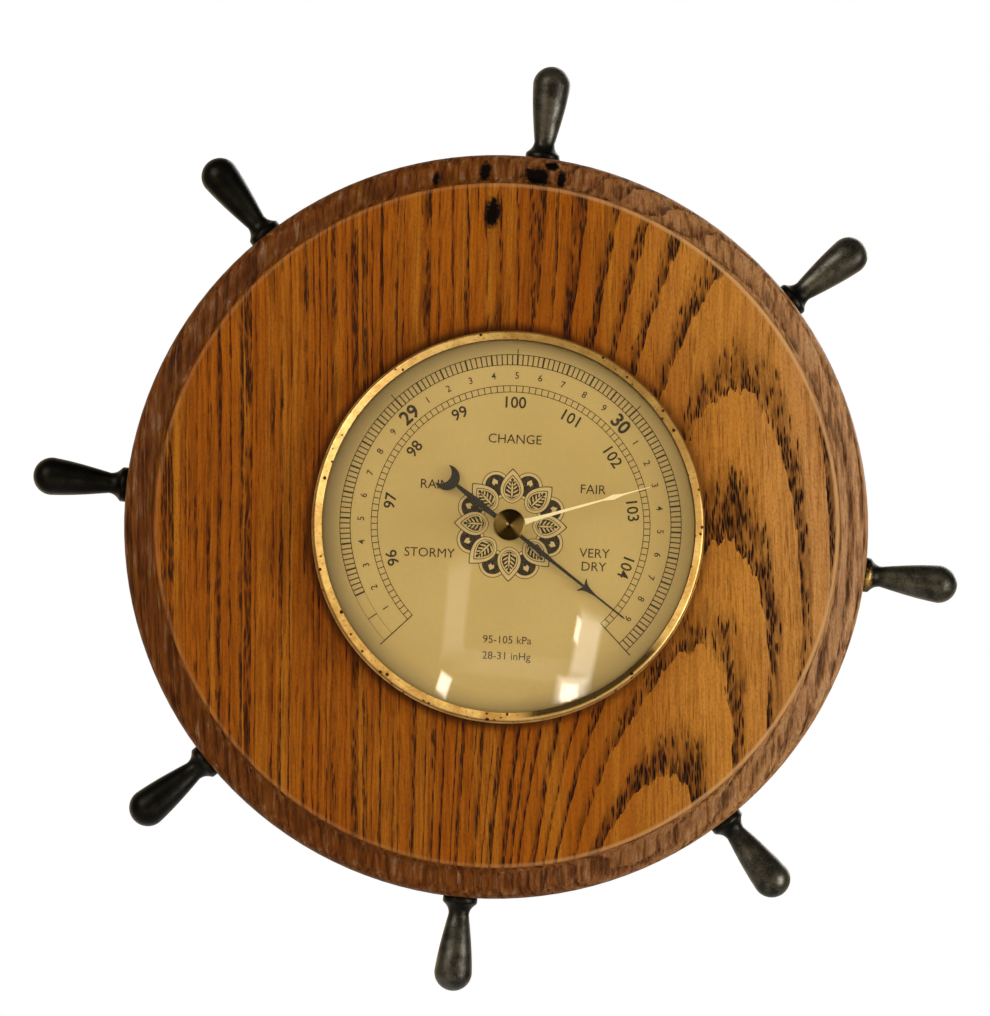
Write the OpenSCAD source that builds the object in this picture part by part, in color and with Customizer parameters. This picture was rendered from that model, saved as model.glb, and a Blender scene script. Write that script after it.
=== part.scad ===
// Ship's wheel barometer: an oak disc with eight turned handles and an aneroid
// instrument let into its middle. Millimetres, +Z up, the front faces -Y.
// The origin is the centre of the disc's back face, on the wall.
// Pieces are drawn lying on the wall, with z as the height above it, and
// face_out() stands them up.

/* [Wooden wheel] */
// Diameter of the oak disc
disc_d = 190; // [182:1:206]
// Thickness of the oak disc
disc_t = 28; // [27:0.5:32]
// Radius of the moulding's hollow, next to the flat face
cove_r = 3.4; // [2.4:0.1:4.4]
// Radius of the moulding's round, next to the outline
round_r = 4.4; // [3.4:0.1:5.4]
// Height of the step where the flat face ends
quirk_h = 0.8; // [0.4:0.1:1.4]
// Radius of the back edge
back_round = 2.5; // [1:0.1:3.5]

/* [Handles] */
// Length of a handle outside the rim
handle_l = 24; // [18:0.1:32]
// Widest diameter of the grip
grip_d = 9.6; // [7:0.1:11]
// Diameter of the neck above the collar
neck_d = 5.2; // [4.6:0.1:6.4]
// Diameter of the collar against the rim
collar_d = 8.8; // [7.4:0.1:10]
// Height of the collar
collar_h = 4.3; // [2.4:0.1:5]
// Diameter of the stud that holds a handle
stud_d = 3; // [2:0.1:3.4]
// Depth of the stud in the wood
stud_in = 12; // [8:0.5:16]
// Depth of the stud in the handle
stud_out = 9; // [6:0.5:12]

/* [Hanger] */
// Width of the keyhole plate
hanger_w = 46; // [40:1:56]
// Height of the keyhole plate
hanger_h = 18; // [17:0.5:20]
// Thickness of the keyhole plate
hanger_t = 1.2; // [1:0.1:2]
// Distance of the plate's middle below the top of the disc
hanger_down = 20; // [18:0.5:23]
// Radius of the round hole, which goes over the wall screw's head
key_r = 4.5; // [4:0.1:5]
// Width of the slot, which hangs on the wall screw's neck
key_slot = 4.2; // [3.4:0.1:5]
// Depth of the pocket behind the plate, for the wall screw's head
pocket_h = 7; // [5:0.5:9]

/* [Case and bezel] */
// Outer diameter of the bezel
bezel_d = 100; // [96:0.5:106]
// Width of the bezel's ring, seen from the front
bezel_w = 2.55; // [2.3:0.05:3.2]
// Sheet thickness of the bezel
bezel_t = 0.6; // [0.5:0.05:0.7]
// Distance of the instrument to the right of the wheel's centre
case_x = 2.8; // [-4:0.1:4]
// Distance of the instrument above the wheel's centre
case_y = -0.2; // [-4:0.1:4]
// Sheet thickness of the case
case_t = 0.7; // [0.6:0.05:0.8]
// Width of the case's ledge, which lies on the wood
ledge_w = 3.05; // [2.6:0.05:4.5]
// Depth of the recess behind the case
recess_h = 3; // [2.7:0.1:4]
// Thickness of the clips behind the case
clip_t = 1; // [0.8:0.1:1.2]

/* [Dial and glass] */
// Thickness of the dial
dial_t = 0.8; // [0.5:0.1:1.2]
// Height of the ring between the dial and the glass
dial_gap = 3.4; // [3:0.1:5]
// Thickness of the glass
glass_t = 1.8; // [1.4:0.1:2.4]
// Height of the glass's dome
glass_rise = 4.5; // [3.6:0.1:7]
// Turn of the dial in the wheel, clockwise
dial_turn = -4.3; // [-10:0.1:10]

/* [Hands] */
// Pressure that the pointer shows, in inches of mercury
reading = 30.9; // [28:0.01:31]
// Pressure that the set hand shows, in inches of mercury
set_reading = 30.3; // [28:0.01:31]
// Length of the pointer from its axis to its tip
pointer_l = 37.7; // [34:0.1:40]
// Length of the pointer's tail from its axis to the horns
tail_end = 21.5; // [18:0.1:24]
// Length of the set hand from its axis to its tip
set_l = 37.2; // [34:0.1:40]
// Diameter of the knob in front of the glass
knob_d = 8; // [7:0.1:11]
// Height of the knob
knob_h = 4.6; // [3.6:0.1:6]

/* [Movement] */
// Module of the teeth of the sector and the pinion
gear_m = 0.4; // [0.38:0.01:0.42]
// Thickness of the base plate and the bridge plate
plate_t = 1.2; // [1:0.1:1.5]
// Diameter of the aneroid capsule
capsule_d = 32; // [28:0.5:34]
// Height of the capsule at the middle of the scale
capsule_h = 6; // [5.4:0.1:6.4]
// Distance of the capsule's post from the rocking shaft
finger_l = 2.4; // [2.3:0.05:2.8]
// Length of the rocking arm
arm_l = 7; // [6.6:0.1:7.4]
// Distance of the link from the sector's axis
tail_l = 2.2; // [2:0.05:2.4]
// Turns of the hairspring
spring_turns = 5; // [4:1:7]

/* [Hidden] */
$fn = 72;

// Clearances: round a running shaft, round a screw, and between pieces pressed together
run_gap = 0.05;
screw_gap = 0.06;
press_gap = 0.02;
// End play of the arbors, and the gap between the lift finger and the capsule's post
end_play = 0.1;
touch_gap = 0.05;
face_gap = 0.01;

// Wheel and handles
disc_r = disc_d / 2;
handles = 8;
// Degrees that each handle's hole is off its eighth of the turn, as drilled by eye
handle_off = [0.4, 0.6, 0.5, 0.1, -1.3, -0.7, -0.3, 0];
moulding_h = quirk_h + cove_r + round_r;
spot_h = 0.3;
spot_gap = 0.15;
seat_r = disc_r - spot_h;
foot_h = collar_h * 0.4;
stud_play = 0.4;

// Hanger
hanger_up = disc_r - hanger_down;
plate_gap = 0.15;
key_drop = 3.5;
key_rise = 8;
hanger_screw_x = hanger_w / 2 - 6;
wood_screw_r = 1.5;
wood_screw_l = 11;
screw_point = 2;
hanger_corner = 3;
pocket_r = 5;

// Bezel and case radii, from the outside inwards
bez_r = bezel_d / 2;
bezel_foot_w = 0.35;
bezel_foot_h = 0.8;
bez_in = bez_r - bezel_w;
wall_out = bez_r - bezel_foot_w;
wall_in = wall_out - bezel_t;
rim_out = wall_in - run_gap;
rim_in = rim_out - case_t;
glass_gap = 0.15;
glass_r = rim_in - glass_gap;
spacer_in = bez_in - 0.25;
body_out = rim_out - ledge_w;
body_in = body_out - case_t;
hole_gap = 0.4;
hole_r = body_out + hole_gap;
recess_r = hole_r + 10;
case_corner = 1.5;

// Heights above the wall, from the dial to the knob
ledge_z = disc_t + case_t;
face_z = ledge_z + dial_t;
seat_z = face_z + dial_gap;
gasket_t = 0.4;
lip_z = seat_z + glass_t + gasket_t;
shoulder_h = 0.9;
shoulder_z = lip_z - shoulder_h;
bezel_slope = 14;
bezel_edge_r = 0.8;
hand_t = 0.3;
hand_hub_r = 2.8;
pointer_w = 1.24;
head_w = 3.84;
head_notch = 0.7;
tail_w = 1.8;
crescent_r = 3.24;
bite_r = 2.8;
bite_y = 2.1;
set_w = 1.32;
boss_z = face_z + 1.1;
pointer_z = boss_z + 0.6;
hands_gap = 1.9;
boss_h = 1.4;
boss_r = 2.2;
boss_neck_r = 1.3;
set_z = pointer_z + hands_gap;
set_boss_r = 1.9;
set_shaft_r = 1;
set_shaft_z = set_z - 0.4;
bush_r = 2;
bush_flange_r = 3.1;
bush_flange_t = 0.5;
bush_gap = 0.1;
washer_r = 2.6;
washer_t = 0.25;
knob_bore_h = 3;
knurls = 44;
knurl_h = 0.16;
knob_edge = 0.5;
knob_cone_h = 1;
knob_dimple_r = 0.9;
dial_hole_r = 2.5;

// Clips behind the case
clip_w = 8;
clip_in = body_out - 3.6;
clip_out = recess_r - 5;
clip_turns = [0, 120, 240];
clip_screw_r = 1.4;
clip_head_r = 2.4;
clip_head_h = 1;

// Small fasteners: shank, head radius, head height and slot
small_r = 0.9;
small_head_r = 1.7;
small_head_h = 1.1;
small_bite = 4;
base_screw_r = 1.2;
base_head_r = 2.2;
base_head_h = 1.1;
slot_w = 0.5;
slot_h = 0.45;

// Heights above the wall, from the case's floor to the capsule
floor_z = recess_h + case_t;
spacer_h = 2.6;
base_z = floor_z + spacer_h;
base_top = base_z + plate_t;
leaf_t = 0.6;
leaf_z = base_top + leaf_t;
sheet_t = 0.3;
waves = 3;
wave_h = 0.22;
seam_w = 1.4;
post_h = 2.2;
post_r = 0.6;
post_foot_r = 2.2;
post_foot_h = 0.4;
finger_t = 1;
rock_z = leaf_z + capsule_h + post_h + touch_gap + finger_t / 2;
wire_r = 0.3;
link_z = rock_z + arm_l;
gear_t = 1;
sector_z = link_z - wire_r - 0.3 - gear_t;
bridge_top = ledge_z - small_head_h - 0.6;
bridge_z = bridge_top - plate_t;

// Gear train: the sector drives the pinion on the pointer's arbor
pinion_teeth = 12;
sector_teeth = 72;
train = sector_teeth / pinion_teeth;
half_teeth = 7;
tooth_play = 0.08;
pressure_angle = 20;
pinion_r = gear_m * pinion_teeth / 2;
sector_r = gear_m * sector_teeth / 2;
centres = pinion_r + sector_r;
pinion_top = pinion_r + gear_m;
pinion_root = pinion_r - 1.25 * gear_m;
sector_top = sector_r + 0.7 * gear_m;
sector_root = sector_r - 1.35 * gear_m;
rim_w = 2.4;

// What each moving piece does at rest, counted from the middle of the scale
scale_middle = 29.5;
degrees_per_inch = 90;
pointer_turn = (reading - scale_middle) * degrees_per_inch;
set_turn = (set_reading - scale_middle) * degrees_per_inch;
sector_turn = pointer_turn / train;
rock_turn = sector_turn * tail_l / arm_l;
link_shift = tail_l * sector_turn * PI / 180;
capsule_drop = finger_l * rock_turn * PI / 180;

// Places on the base plate, seen from the front, from the instrument's axis
arbor_r = 0.8;
pivot_r = 0.45;
sector_arbor_r = 1;
tail_hole_r = wire_r + 0.2;
sector_hub_r = tail_l + tail_hole_r + 0.6;
link_x = -centres - tail_l * 0.956;
arm_w = 1;
arm_x = link_x + wire_r + 0.2 + arm_w / 2;
capsule_r = capsule_d / 2;
capsule_y = -(capsule_r + 8);
rock_y = capsule_y + finger_l;
rock_r = 1;
rock_pivot_r = 0.6;
rock_boss_r = 1.5;
finger_w = 3;
arm_boss_r = 1.8;
arm_eye_r = 1.1;
wire_gap = 0.12;
bracket_t = 1;
bracket_w = 7;
bracket_foot = 7;
bracket_hole = bracket_foot - 2.4;
bracket_right = capsule_r + 3.5;
bracket_left = -max(bracket_right, centres + tail_l + 3.4);
pillar_r = 1.8;
pillar_x = [-(centres + 9.5), 10];
pillar_y = 6.8;
pillars = [for (x = pillar_x, s = [-1, 1]) [x, s * pillar_y]];
bridge_edge = 3.6;
base_gap = 1.8;
base_r = body_in - base_gap;
base_left = -(centres + 14);
base_right = capsule_r + 11.5;
base_high = 20;
base_edge = 5.5;
spacer_r = 2.8;
base_points = concat([for (x = [base_left + base_edge, base_right - base_edge])
    [x, base_high - base_edge]],
    [for (a = [-55, -125]) (base_r - 4) * [cos(a), sin(a)]]);
leaf_w = 11;
leaf_start = -4.6;
adjust_y = 4.8 - body_in;
leaf_end = adjust_y - 2.4;
rivet_y = leaf_start - 2;
rivet_x = 3.2;
rivet_r = 0.8;
rivet_head_r = 1.4;
rivet_head_h = 0.5;
capsule_stud_r = 1.5;
capsule_nut_r = 3;
capsule_nut_h = 1.6;
adjust_r = 1.5;
adjust_head_r = 2.6;
adjust_head_h = 1.1;
adjust_head_gap = 0.2;
adjust_bush_r = 2.7;
adjust_flange_r = 3.6;
collet_r = 1.5;
collet_h = 1.4;
spring_z = leaf_z + 4.5;
spring_w = 0.6;
spring_t = 0.2;
spring_out = 6.4;
stud_pin_r = 0.9;

// An arc as a list of points
function arc(x, y, r, a, b, n) =
    [for (i = [0:n]) let (t = a + (b - a) * i / n) [x + r * cos(t), y + r * sin(t)]];

// Height of a spherical cap at radius r, above its edge at radius e
function cap_z(r, e, rise) =
    let (s = (e * e + rise * rise) / (2 * rise)) sqrt(s * s - r * r) - (s - rise);

// Heights of the glass's two surfaces at radius r
function glass_under(r) = seat_z + cap_z(r, spacer_in, glass_rise);
function glass_over(r) = seat_z + glass_t + cap_z(r, bez_in, glass_rise);

bush_z = glass_under(bush_flange_r) - bush_flange_t - press_gap;
bush_top = glass_over(bush_r + bush_gap) + bush_flange_t;
knob_z = bush_top + washer_t;
set_boss_h = bush_z - set_z - hand_t - end_play;

module face_out() {
    rotate([90, 0, 0]) children();
}

// The instrument's own axis
module at_case() {
    face_out() translate([case_x, case_y, 0]) children();
}

// A handle's seat on the rim, with z running outwards along the handle
module at_handle(i) {
    face_out() rotate([0, 0, -360 / handles * (i - 1) - handle_off[i - 1]])
        translate([0, seat_r, disc_t / 2]) rotate([-90, 0, 0]) children();
}

// Turns a hand to its angle, clockwise from the top of the wheel
module clockwise(a) {
    rotate([0, 0, -a]) children();
}

module rounded(w, h, r) {
    square([w, h - 2 * r], center = true);
    square([w - 2 * r, h], center = true);
    for (x = [-1, 1], y = [-1, 1]) translate([x * (w / 2 - r), y * (h / 2 - r)]) circle(r);
}

// A flat strap of width 2r with round ends, from p to q
module strap(p, q, r) {
    d = q - p;
    n = [-d.y, d.x] * r / norm(d);
    for (e = [p, q]) translate(e) circle(r);
    polygon([p + n, q + n, q - n, p - n]);
}

// A slotted screw: its head stands on z = 0 and its shank goes down
module screw(head_r, head_h, shank_r, shank_l) {
    difference() {
        union() {
            cylinder(r1 = head_r, r2 = head_r * 0.86, h = head_h);
            translate([0, 0, -shank_l]) cylinder(r = shank_r, h = shank_l + head_h / 2);
        }
        translate([-head_r - 1, -slot_w / 2, head_h - slot_h])
            cube([2 * head_r + 2, slot_w, slot_h + 1]);
    }
}

// Wheel

disc_profile = concat(
    [[0, 0]],
    arc(disc_r - back_round, back_round, back_round, -90, 0, 6),
    arc(disc_r - round_r, disc_t - moulding_h, round_r, 0, 90, 12),
    arc(disc_r - round_r, disc_t - quirk_h, cove_r, -90, -180, 10),
    [[disc_r - round_r - cove_r, disc_t], [0, disc_t]]);

module wheel_disc() {
    color("peru") difference() {
        face_out() rotate_extrude($fn = 180) polygon(disc_profile);
        at_case() {
            translate([0, 0, -1]) cylinder(r = hole_r, h = disc_t + 2, $fn = 120);
            translate([0, 0, -1]) cylinder(r = recess_r, h = recess_h + 1, $fn = 120);
            at_clips() translate([clip_out, 0, 0])
                cylinder(r = clip_screw_r + screw_gap, h = recess_h + wood_screw_l);
        }
        for (i = [1:handles]) at_handle(i) {
            cylinder(r = collar_d / 2 + spot_gap, h = 2 * spot_h);
            translate([0, 0, -stud_in - stud_play])
                cylinder(r = stud_d / 2 + screw_gap, h = stud_in + stud_play + spot_h);
        }
        face_out() translate([0, hanger_up, 0]) {
            translate([0, 0, -1]) linear_extrude(hanger_t + 1)
                rounded(hanger_w + 2 * plate_gap, hanger_h + 2 * plate_gap, hanger_corner);
            linear_extrude(hanger_t + pocket_h)
                strap([0, -key_drop], [0, key_rise - key_drop], pocket_r);
            for (x = [-1, 1]) translate([x * hanger_screw_x, 0, 0])
                cylinder(r = wood_screw_r + screw_gap, h = hanger_t + wood_screw_l);
        }
    }
}

handle_profile = concat(
    [[0, 0], [collar_d / 2, 0], [collar_d / 2, foot_h]],
    [for (i = [0:12]) let (t = i / 12, l = handle_l + spot_h - grip_d / 2 - collar_h)
        [neck_d / 2 + (grip_d - neck_d) / 2 * (t + sin(90 * t)) / 2, collar_h + l * t]],
    [for (a = [9:9:81]) [grip_d / 2 * cos(a), handle_l + spot_h - grip_d / 2 * (1 - sin(a))]],
    [[0, handle_l + spot_h]]);

module handle(i) {
    color("dimgray") at_handle(i) difference() {
        rotate_extrude() polygon(handle_profile);
        translate([0, 0, -1]) cylinder(r = stud_d / 2 + screw_gap, h = stud_out + 1);
    }
}

module handle_studs() {
    color("silver") for (i = [1:handles]) at_handle(i)
        translate([0, 0, -stud_in]) cylinder(r = stud_d / 2, h = stud_in + stud_out - stud_play);
}

// Hanger

module hanger_plate() {
    color("goldenrod") face_out() translate([0, hanger_up, 0]) difference() {
        linear_extrude(hanger_t) difference() {
            rounded(hanger_w, hanger_h, hanger_corner);
            translate([0, -key_drop]) circle(key_r);
            strap([0, -key_drop], [0, key_rise - key_drop], key_slot / 2);
        }
        for (x = [-1, 1]) translate([x * hanger_screw_x, 0, 0]) countersink(press_gap);
    }
}

module countersink(gap) {
    cylinder(r1 = wood_screw_r + hanger_t + gap, r2 = wood_screw_r + gap, h = hanger_t);
}

module hanger_screws() {
    color("silver") face_out() for (x = [-1, 1])
        translate([x * hanger_screw_x, hanger_up, 0]) difference() {
            union() {
                countersink(0);
                cylinder(r = wood_screw_r, h = hanger_t + wood_screw_l - screw_point);
                translate([0, 0, hanger_t + wood_screw_l - screw_point])
                    cylinder(r1 = wood_screw_r, r2 = screw_gap, h = screw_point - screw_gap);
            }
            translate([-3, -slot_w / 2, -1]) cube([6, slot_w, 1 + slot_h]);
        }
}

// Case, clips, dial and glass

module at_clips() {
    for (a = clip_turns) rotate([0, 0, 90 + a]) children();
}

case_profile = concat(
    [[0, recess_h]],
    arc(body_out - case_corner, recess_h + case_corner, case_corner, -90, 0, 5),
    [[body_out, disc_t], [rim_out, disc_t], [rim_out, shoulder_z - 0.1],
        [rim_in, shoulder_z - 0.1], [rim_in, ledge_z], [body_in, ledge_z]],
    arc(body_out - case_corner, recess_h + case_corner, case_corner - case_t, 0, -90, 5),
    [[0, floor_z]]);

module case_cup() {
    color("silver") at_case() difference() {
        rotate_extrude($fn = 120) polygon(case_profile);
        for (p = base_points) translate([p.x, p.y, 0])
            cylinder(r = base_screw_r + screw_gap, h = floor_z + 1);
        translate([0, adjust_y, 0]) cylinder(r = adjust_bush_r + press_gap, h = floor_z + 1);
    }
}

module case_clips() {
    color("lightsteelblue") at_case() at_clips()
        translate([0, 0, recess_h - clip_t]) linear_extrude(clip_t) difference() {
            strap([clip_in + clip_w / 2, 0], [clip_out, 0], clip_w / 2);
            translate([clip_out, 0]) circle(clip_screw_r + screw_gap);
        }
}

module clip_screws() {
    color("silver") at_case() at_clips() translate([clip_out, 0, recess_h - clip_t])
        mirror([0, 0, 1]) screw(clip_head_r, clip_head_h, clip_screw_r, wood_screw_l - 1);
}

module dial_plate() {
    color("khaki") at_case() translate([0, 0, ledge_z]) linear_extrude(dial_t) difference() {
        circle(glass_r, $fn = 120);
        circle(dial_hole_r);
    }
}

module spacer_ring() {
    color("darkgoldenrod") at_case() translate([0, 0, face_z]) linear_extrude(dial_gap)
        difference() {
            circle(glass_r, $fn = 120);
            circle(spacer_in, $fn = 120);
        }
}

glass_profile = concat(
    [for (i = [0:24]) let (r = bush_r + bush_gap + (spacer_in - bush_r - bush_gap) * i / 24)
        [r, glass_under(r)]],
    [[glass_r, seat_z], [glass_r, seat_z + glass_t]],
    [for (i = [0:24]) let (r = bez_in + (bush_r + bush_gap - bez_in) * i / 24)
        [r, glass_over(r)]]);

module glass() {
    color("lightcyan", 0.4) at_case() rotate_extrude($fn = 120) polygon(glass_profile);
}

module glass_gasket() {
    color("dimgray") at_case() translate([0, 0, lip_z - gasket_t]) linear_extrude(gasket_t)
        difference() {
            circle(glass_r, $fn = 120);
            circle(bez_in + 0.05, $fn = 120);
        }
}

// The outside runs from the foot on the wood, up the wall, round the edge and up the
// sloping face to the opening, and the inside back under the lip and down the case
bezel_top = lip_z + bezel_t;
bezel_face_w = wall_out - bezel_edge_r * (1 - sin(bezel_slope)) - bez_in;
bezel_edge_z = bezel_top - bezel_face_w * tan(bezel_slope) - bezel_edge_r * cos(bezel_slope);
bezel_profile = concat(
    [[wall_in, disc_t], [bez_r, disc_t], [bez_r, disc_t + bezel_foot_h],
        [wall_out, disc_t + bezel_foot_h + bezel_foot_w]],
    arc(wall_out - bezel_edge_r, bezel_edge_z, bezel_edge_r, 0, 90 - bezel_slope, 8),
    [[bez_in, bezel_top], [bez_in, lip_z], [glass_r + press_gap, lip_z],
        [wall_in, shoulder_z]]);

module bezel() {
    color("gold") at_case() difference() {
        rotate_extrude($fn = 120) polygon(bezel_profile);
        translate([0, 0, disc_t - 1]) cylinder(r = rim_out, h = case_t + 1, $fn = 120);
    }
}

// Base of the movement

module base_plate() {
    color("goldenrod") at_case() translate([0, 0, base_z]) linear_extrude(plate_t)
        difference() {
            intersection() {
                circle(base_r, $fn = 120);
                translate([base_left, -base_r]) square([base_right - base_left, base_r + base_high]);
            }
            for (p = base_points) translate(p) circle(base_screw_r + screw_gap);
            for (p = pillars) translate(p) circle(small_r + screw_gap);
            for (p = bracket_holes) translate(p) circle(small_r + screw_gap);
            for (x = [-1, 1]) translate([x * rivet_x, rivet_y]) circle(rivet_r + press_gap);
            translate([0, capsule_y]) circle(capsule_nut_r + 0.8);
            translate([0, adjust_y]) circle(adjust_r + 0.6);
            circle(pivot_r + run_gap);
            translate([-centres, 0]) circle(pivot_r + run_gap);
        }
}

module base_spacers() {
    color("silver") at_case() for (p = base_points) translate([p.x, p.y, floor_z])
        linear_extrude(spacer_h) difference() {
            circle(spacer_r);
            circle(base_screw_r + screw_gap);
        }
}

module base_screws() {
    color("silver") at_case() for (p = base_points) translate([p.x, p.y, recess_h])
        mirror([0, 0, 1]) screw(base_head_r, base_head_h, base_screw_r, base_top - recess_h);
}

module adjusting_leaf() {
    color("lightsteelblue") at_case() translate([0, 0, base_top]) linear_extrude(leaf_t)
        difference() {
            translate([0, (leaf_start + leaf_end) / 2]) rounded(leaf_w, leaf_start - leaf_end, 2);
            for (x = [-1, 1]) translate([x * rivet_x, rivet_y]) circle(rivet_r + press_gap);
            translate([0, capsule_y]) circle(capsule_stud_r + screw_gap);
        }
}

module leaf_rivets() {
    color("goldenrod") at_case() for (x = [-1, 1])
        translate([x * rivet_x, rivet_y, base_z - rivet_head_h]) {
            cylinder(r = rivet_head_r, h = rivet_head_h);
            cylinder(r = rivet_r, h = plate_t + leaf_t + 2 * rivet_head_h);
            translate([0, 0, rivet_head_h + plate_t + leaf_t])
                cylinder(r = rivet_head_r, h = rivet_head_h);
        }
}

module adjusting_bush() {
    color("goldenrod") at_case() translate([0, adjust_y, 0]) difference() {
        union() {
            translate([0, 0, recess_h]) cylinder(r = adjust_bush_r, h = case_t + 1.6);
            translate([0, 0, floor_z]) cylinder(r = adjust_flange_r, h = 0.8);
        }
        cylinder(r = adjust_r + run_gap, h = base_z);
    }
}

module adjusting_screw() {
    color("silver") at_case() translate([0, adjust_y, recess_h - adjust_head_gap])
        mirror([0, 0, 1]) screw(adjust_head_r, adjust_head_h, adjust_r,
            base_top - recess_h + adjust_head_gap - touch_gap);
}

// Capsule: two corrugated sheets soldered at their rims, on a stud, with a post on top

// Height of a sheet's inside above the rim plane, for u from 0 at its middle to 1 at its rim
function sheet_rise(u, high) =
    (high - sheet_t) * (1 - pow(u, 4)) - wave_h * (1 - cos(360 * waves * u)) * 4 * u * (1 - u);

function sheet_profile(high) =
    let (flat_r = 3, wall_r = capsule_r - seam_w,
        inside = [for (i = [0:32]) let (u = i / 32)
            [flat_r + (wall_r - flat_r) * u, sheet_rise(u, high)]])
    concat([[0, high - sheet_t]], inside, [[capsule_r, 0], [capsule_r, sheet_t]],
        [for (i = [32:-1:0]) inside[i] + [0, sheet_t]], [[0, high]]);

capsule_mid = leaf_z + capsule_h / 2;

module capsule_lower() {
    color("tan") at_case() translate([0, capsule_y, capsule_mid]) mirror([0, 0, 1])
        rotate_extrude() polygon(sheet_profile(capsule_h / 2));
}

module capsule_upper() {
    color("tan") at_case() translate([0, capsule_y, capsule_mid])
        rotate_extrude() polygon(sheet_profile(capsule_h / 2 - capsule_drop));
}

module capsule_stud() {
    color("goldenrod") at_case() translate([0, capsule_y, base_top - capsule_nut_h - 0.5])
        cylinder(r = capsule_stud_r, h = leaf_t + capsule_nut_h + 0.5);
}

module capsule_nut() {
    color("goldenrod") at_case() translate([0, capsule_y, base_top - capsule_nut_h])
        linear_extrude(capsule_nut_h) difference() {
            circle(capsule_nut_r, $fn = 6);
            circle(capsule_stud_r + screw_gap);
        }
}

module capsule_post() {
    post_top = rock_z - finger_t / 2 - touch_gap - capsule_drop;
    post_base = leaf_z + capsule_h - capsule_drop;
    color("goldenrod") at_case() translate([0, capsule_y, 0]) {
        translate([0, 0, post_base]) cylinder(r = post_foot_r, h = post_foot_h);
        translate([0, 0, post_base]) cylinder(r = post_r, h = post_top - post_r - post_base);
        translate([0, 0, post_top - post_r]) sphere(post_r, $fn = 32);
    }
}

// Rocking shaft, which the capsule's post tilts

bracket_holes = [[bracket_left - bracket_hole, rock_y], [bracket_right + bracket_hole, rock_y]];

module bracket(x, turn) {
    translate([x, rock_y, base_top]) rotate([0, 0, turn]) difference() {
        union() {
            translate([0, -bracket_w / 2, 0]) cube([bracket_foot, bracket_w, bracket_t]);
            translate([0, -bracket_w / 2, 0]) cube([bracket_t, bracket_w, rock_z - base_top]);
            translate([0, 0, rock_z - base_top]) rotate([0, 90, 0])
                cylinder(r = bracket_w / 2, h = bracket_t);
        }
        translate([-1, 0, rock_z - base_top]) rotate([0, 90, 0])
            cylinder(r = rock_pivot_r + run_gap, h = bracket_t + 2);
        translate([bracket_hole, 0, -1])
            cylinder(r = small_r + screw_gap, h = bracket_t + 2);
    }
}

module shaft_brackets() {
    color("goldenrod") at_case() {
        bracket(bracket_left, 180);
        bracket(bracket_right, 0);
    }
}

module bracket_screws() {
    color("silver") at_case() for (p = bracket_holes)
        translate([p.x, p.y, base_top + bracket_t])
            screw(small_head_r, small_head_h, small_r, bracket_t + plate_t);
}

// The shaft's own frame: x along the shaft, turned to the pressure that is shown
module at_rock() {
    at_case() translate([0, rock_y, rock_z]) rotate([rock_turn, 0, 0]) children();
}

module rocking_shaft() {
    left = bracket_left + end_play;
    right = bracket_right - end_play;
    color("silver") at_rock() {
        translate([left, 0, 0]) rotate([0, 90, 0]) cylinder(r = rock_r, h = right - left);
        translate([left - bracket_t - 0.4, 0, 0]) rotate([0, 90, 0])
            cylinder(r = rock_pivot_r, h = right - left + 2 * bracket_t + 0.8);
    }
}

// A cylinder along the shaft, centred on x, at height z above the shaft
module along(x, z, r, l) {
    translate([x - l / 2, 0, z]) rotate([0, 90, 0]) cylinder(r = r, h = l);
}

module lift_finger() {
    reach = finger_l + 1.2;
    color("goldenrod") at_rock() difference() {
        union() {
            along(0, 0, rock_boss_r, finger_w);
            translate([-finger_w / 2, -reach, -finger_t / 2]) cube([finger_w, reach, finger_t]);
        }
        along(0, 0, rock_r + press_gap, finger_w + 2);
    }
}

module rocking_arm() {
    color("goldenrod") at_rock() difference() {
        union() {
            along(arm_x, 0, arm_boss_r, 2 * arm_w);
            translate([arm_x - arm_w / 2, -arm_eye_r, 0]) cube([arm_w, 2 * arm_eye_r, arm_l]);
            along(arm_x, arm_l, arm_eye_r, arm_w);
        }
        along(arm_x, 0, rock_r + press_gap, 4 * arm_w);
        along(arm_x, arm_l, wire_r + wire_gap, 2 * arm_w);
    }
}

// Link: a wire with its ends bent into the arm and into the sector's tail
module link_wire() {
    near = [link_x, rock_y - link_shift, link_z];
    far = [link_x, -link_shift, link_z];
    color("silver") at_case() {
        translate(near) rotate([-90, 0, 0]) cylinder(r = wire_r, h = far.y - near.y, $fn = 24);
        translate(near) rotate([0, 90, 0])
            cylinder(r = wire_r, h = arm_x + arm_w / 2 + 0.5 - link_x, $fn = 24);
        translate([far.x, far.y, sector_z - 0.4])
            cylinder(r = wire_r, h = link_z - sector_z + 0.4, $fn = 24);
        for (p = [near, far]) translate(p) sphere(wire_r, $fn = 24);
    }
}

// Sector and pinion with involute teeth

function inv(a) = tan(a) * 180 / PI - a;

// Half of a tooth's angle at radius r, on a gear of n teeth and pitch radius p
function tooth_half(r, n, p) =
    let (b = p * cos(pressure_angle), q = max(r, b))
    90 / n - tooth_play / 2 / p * 180 / PI + inv(pressure_angle) - inv(acos(b / q));

// A tooth's outline, pointing along x, from its root over its top and back
function tooth(n, p, root, top) =
    let (flank = [for (i = [0:6]) let (r = root + (top - root) * i / 6,
        h = tooth_half(r, n, p)) [r, h]])
    concat([for (f = flank) [f[0] * cos(f[1]), -f[0] * sin(f[1])]],
        [for (i = [6:-1:0]) [flank[i][0] * cos(flank[i][1]), flank[i][0] * sin(flank[i][1])]]);

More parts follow.
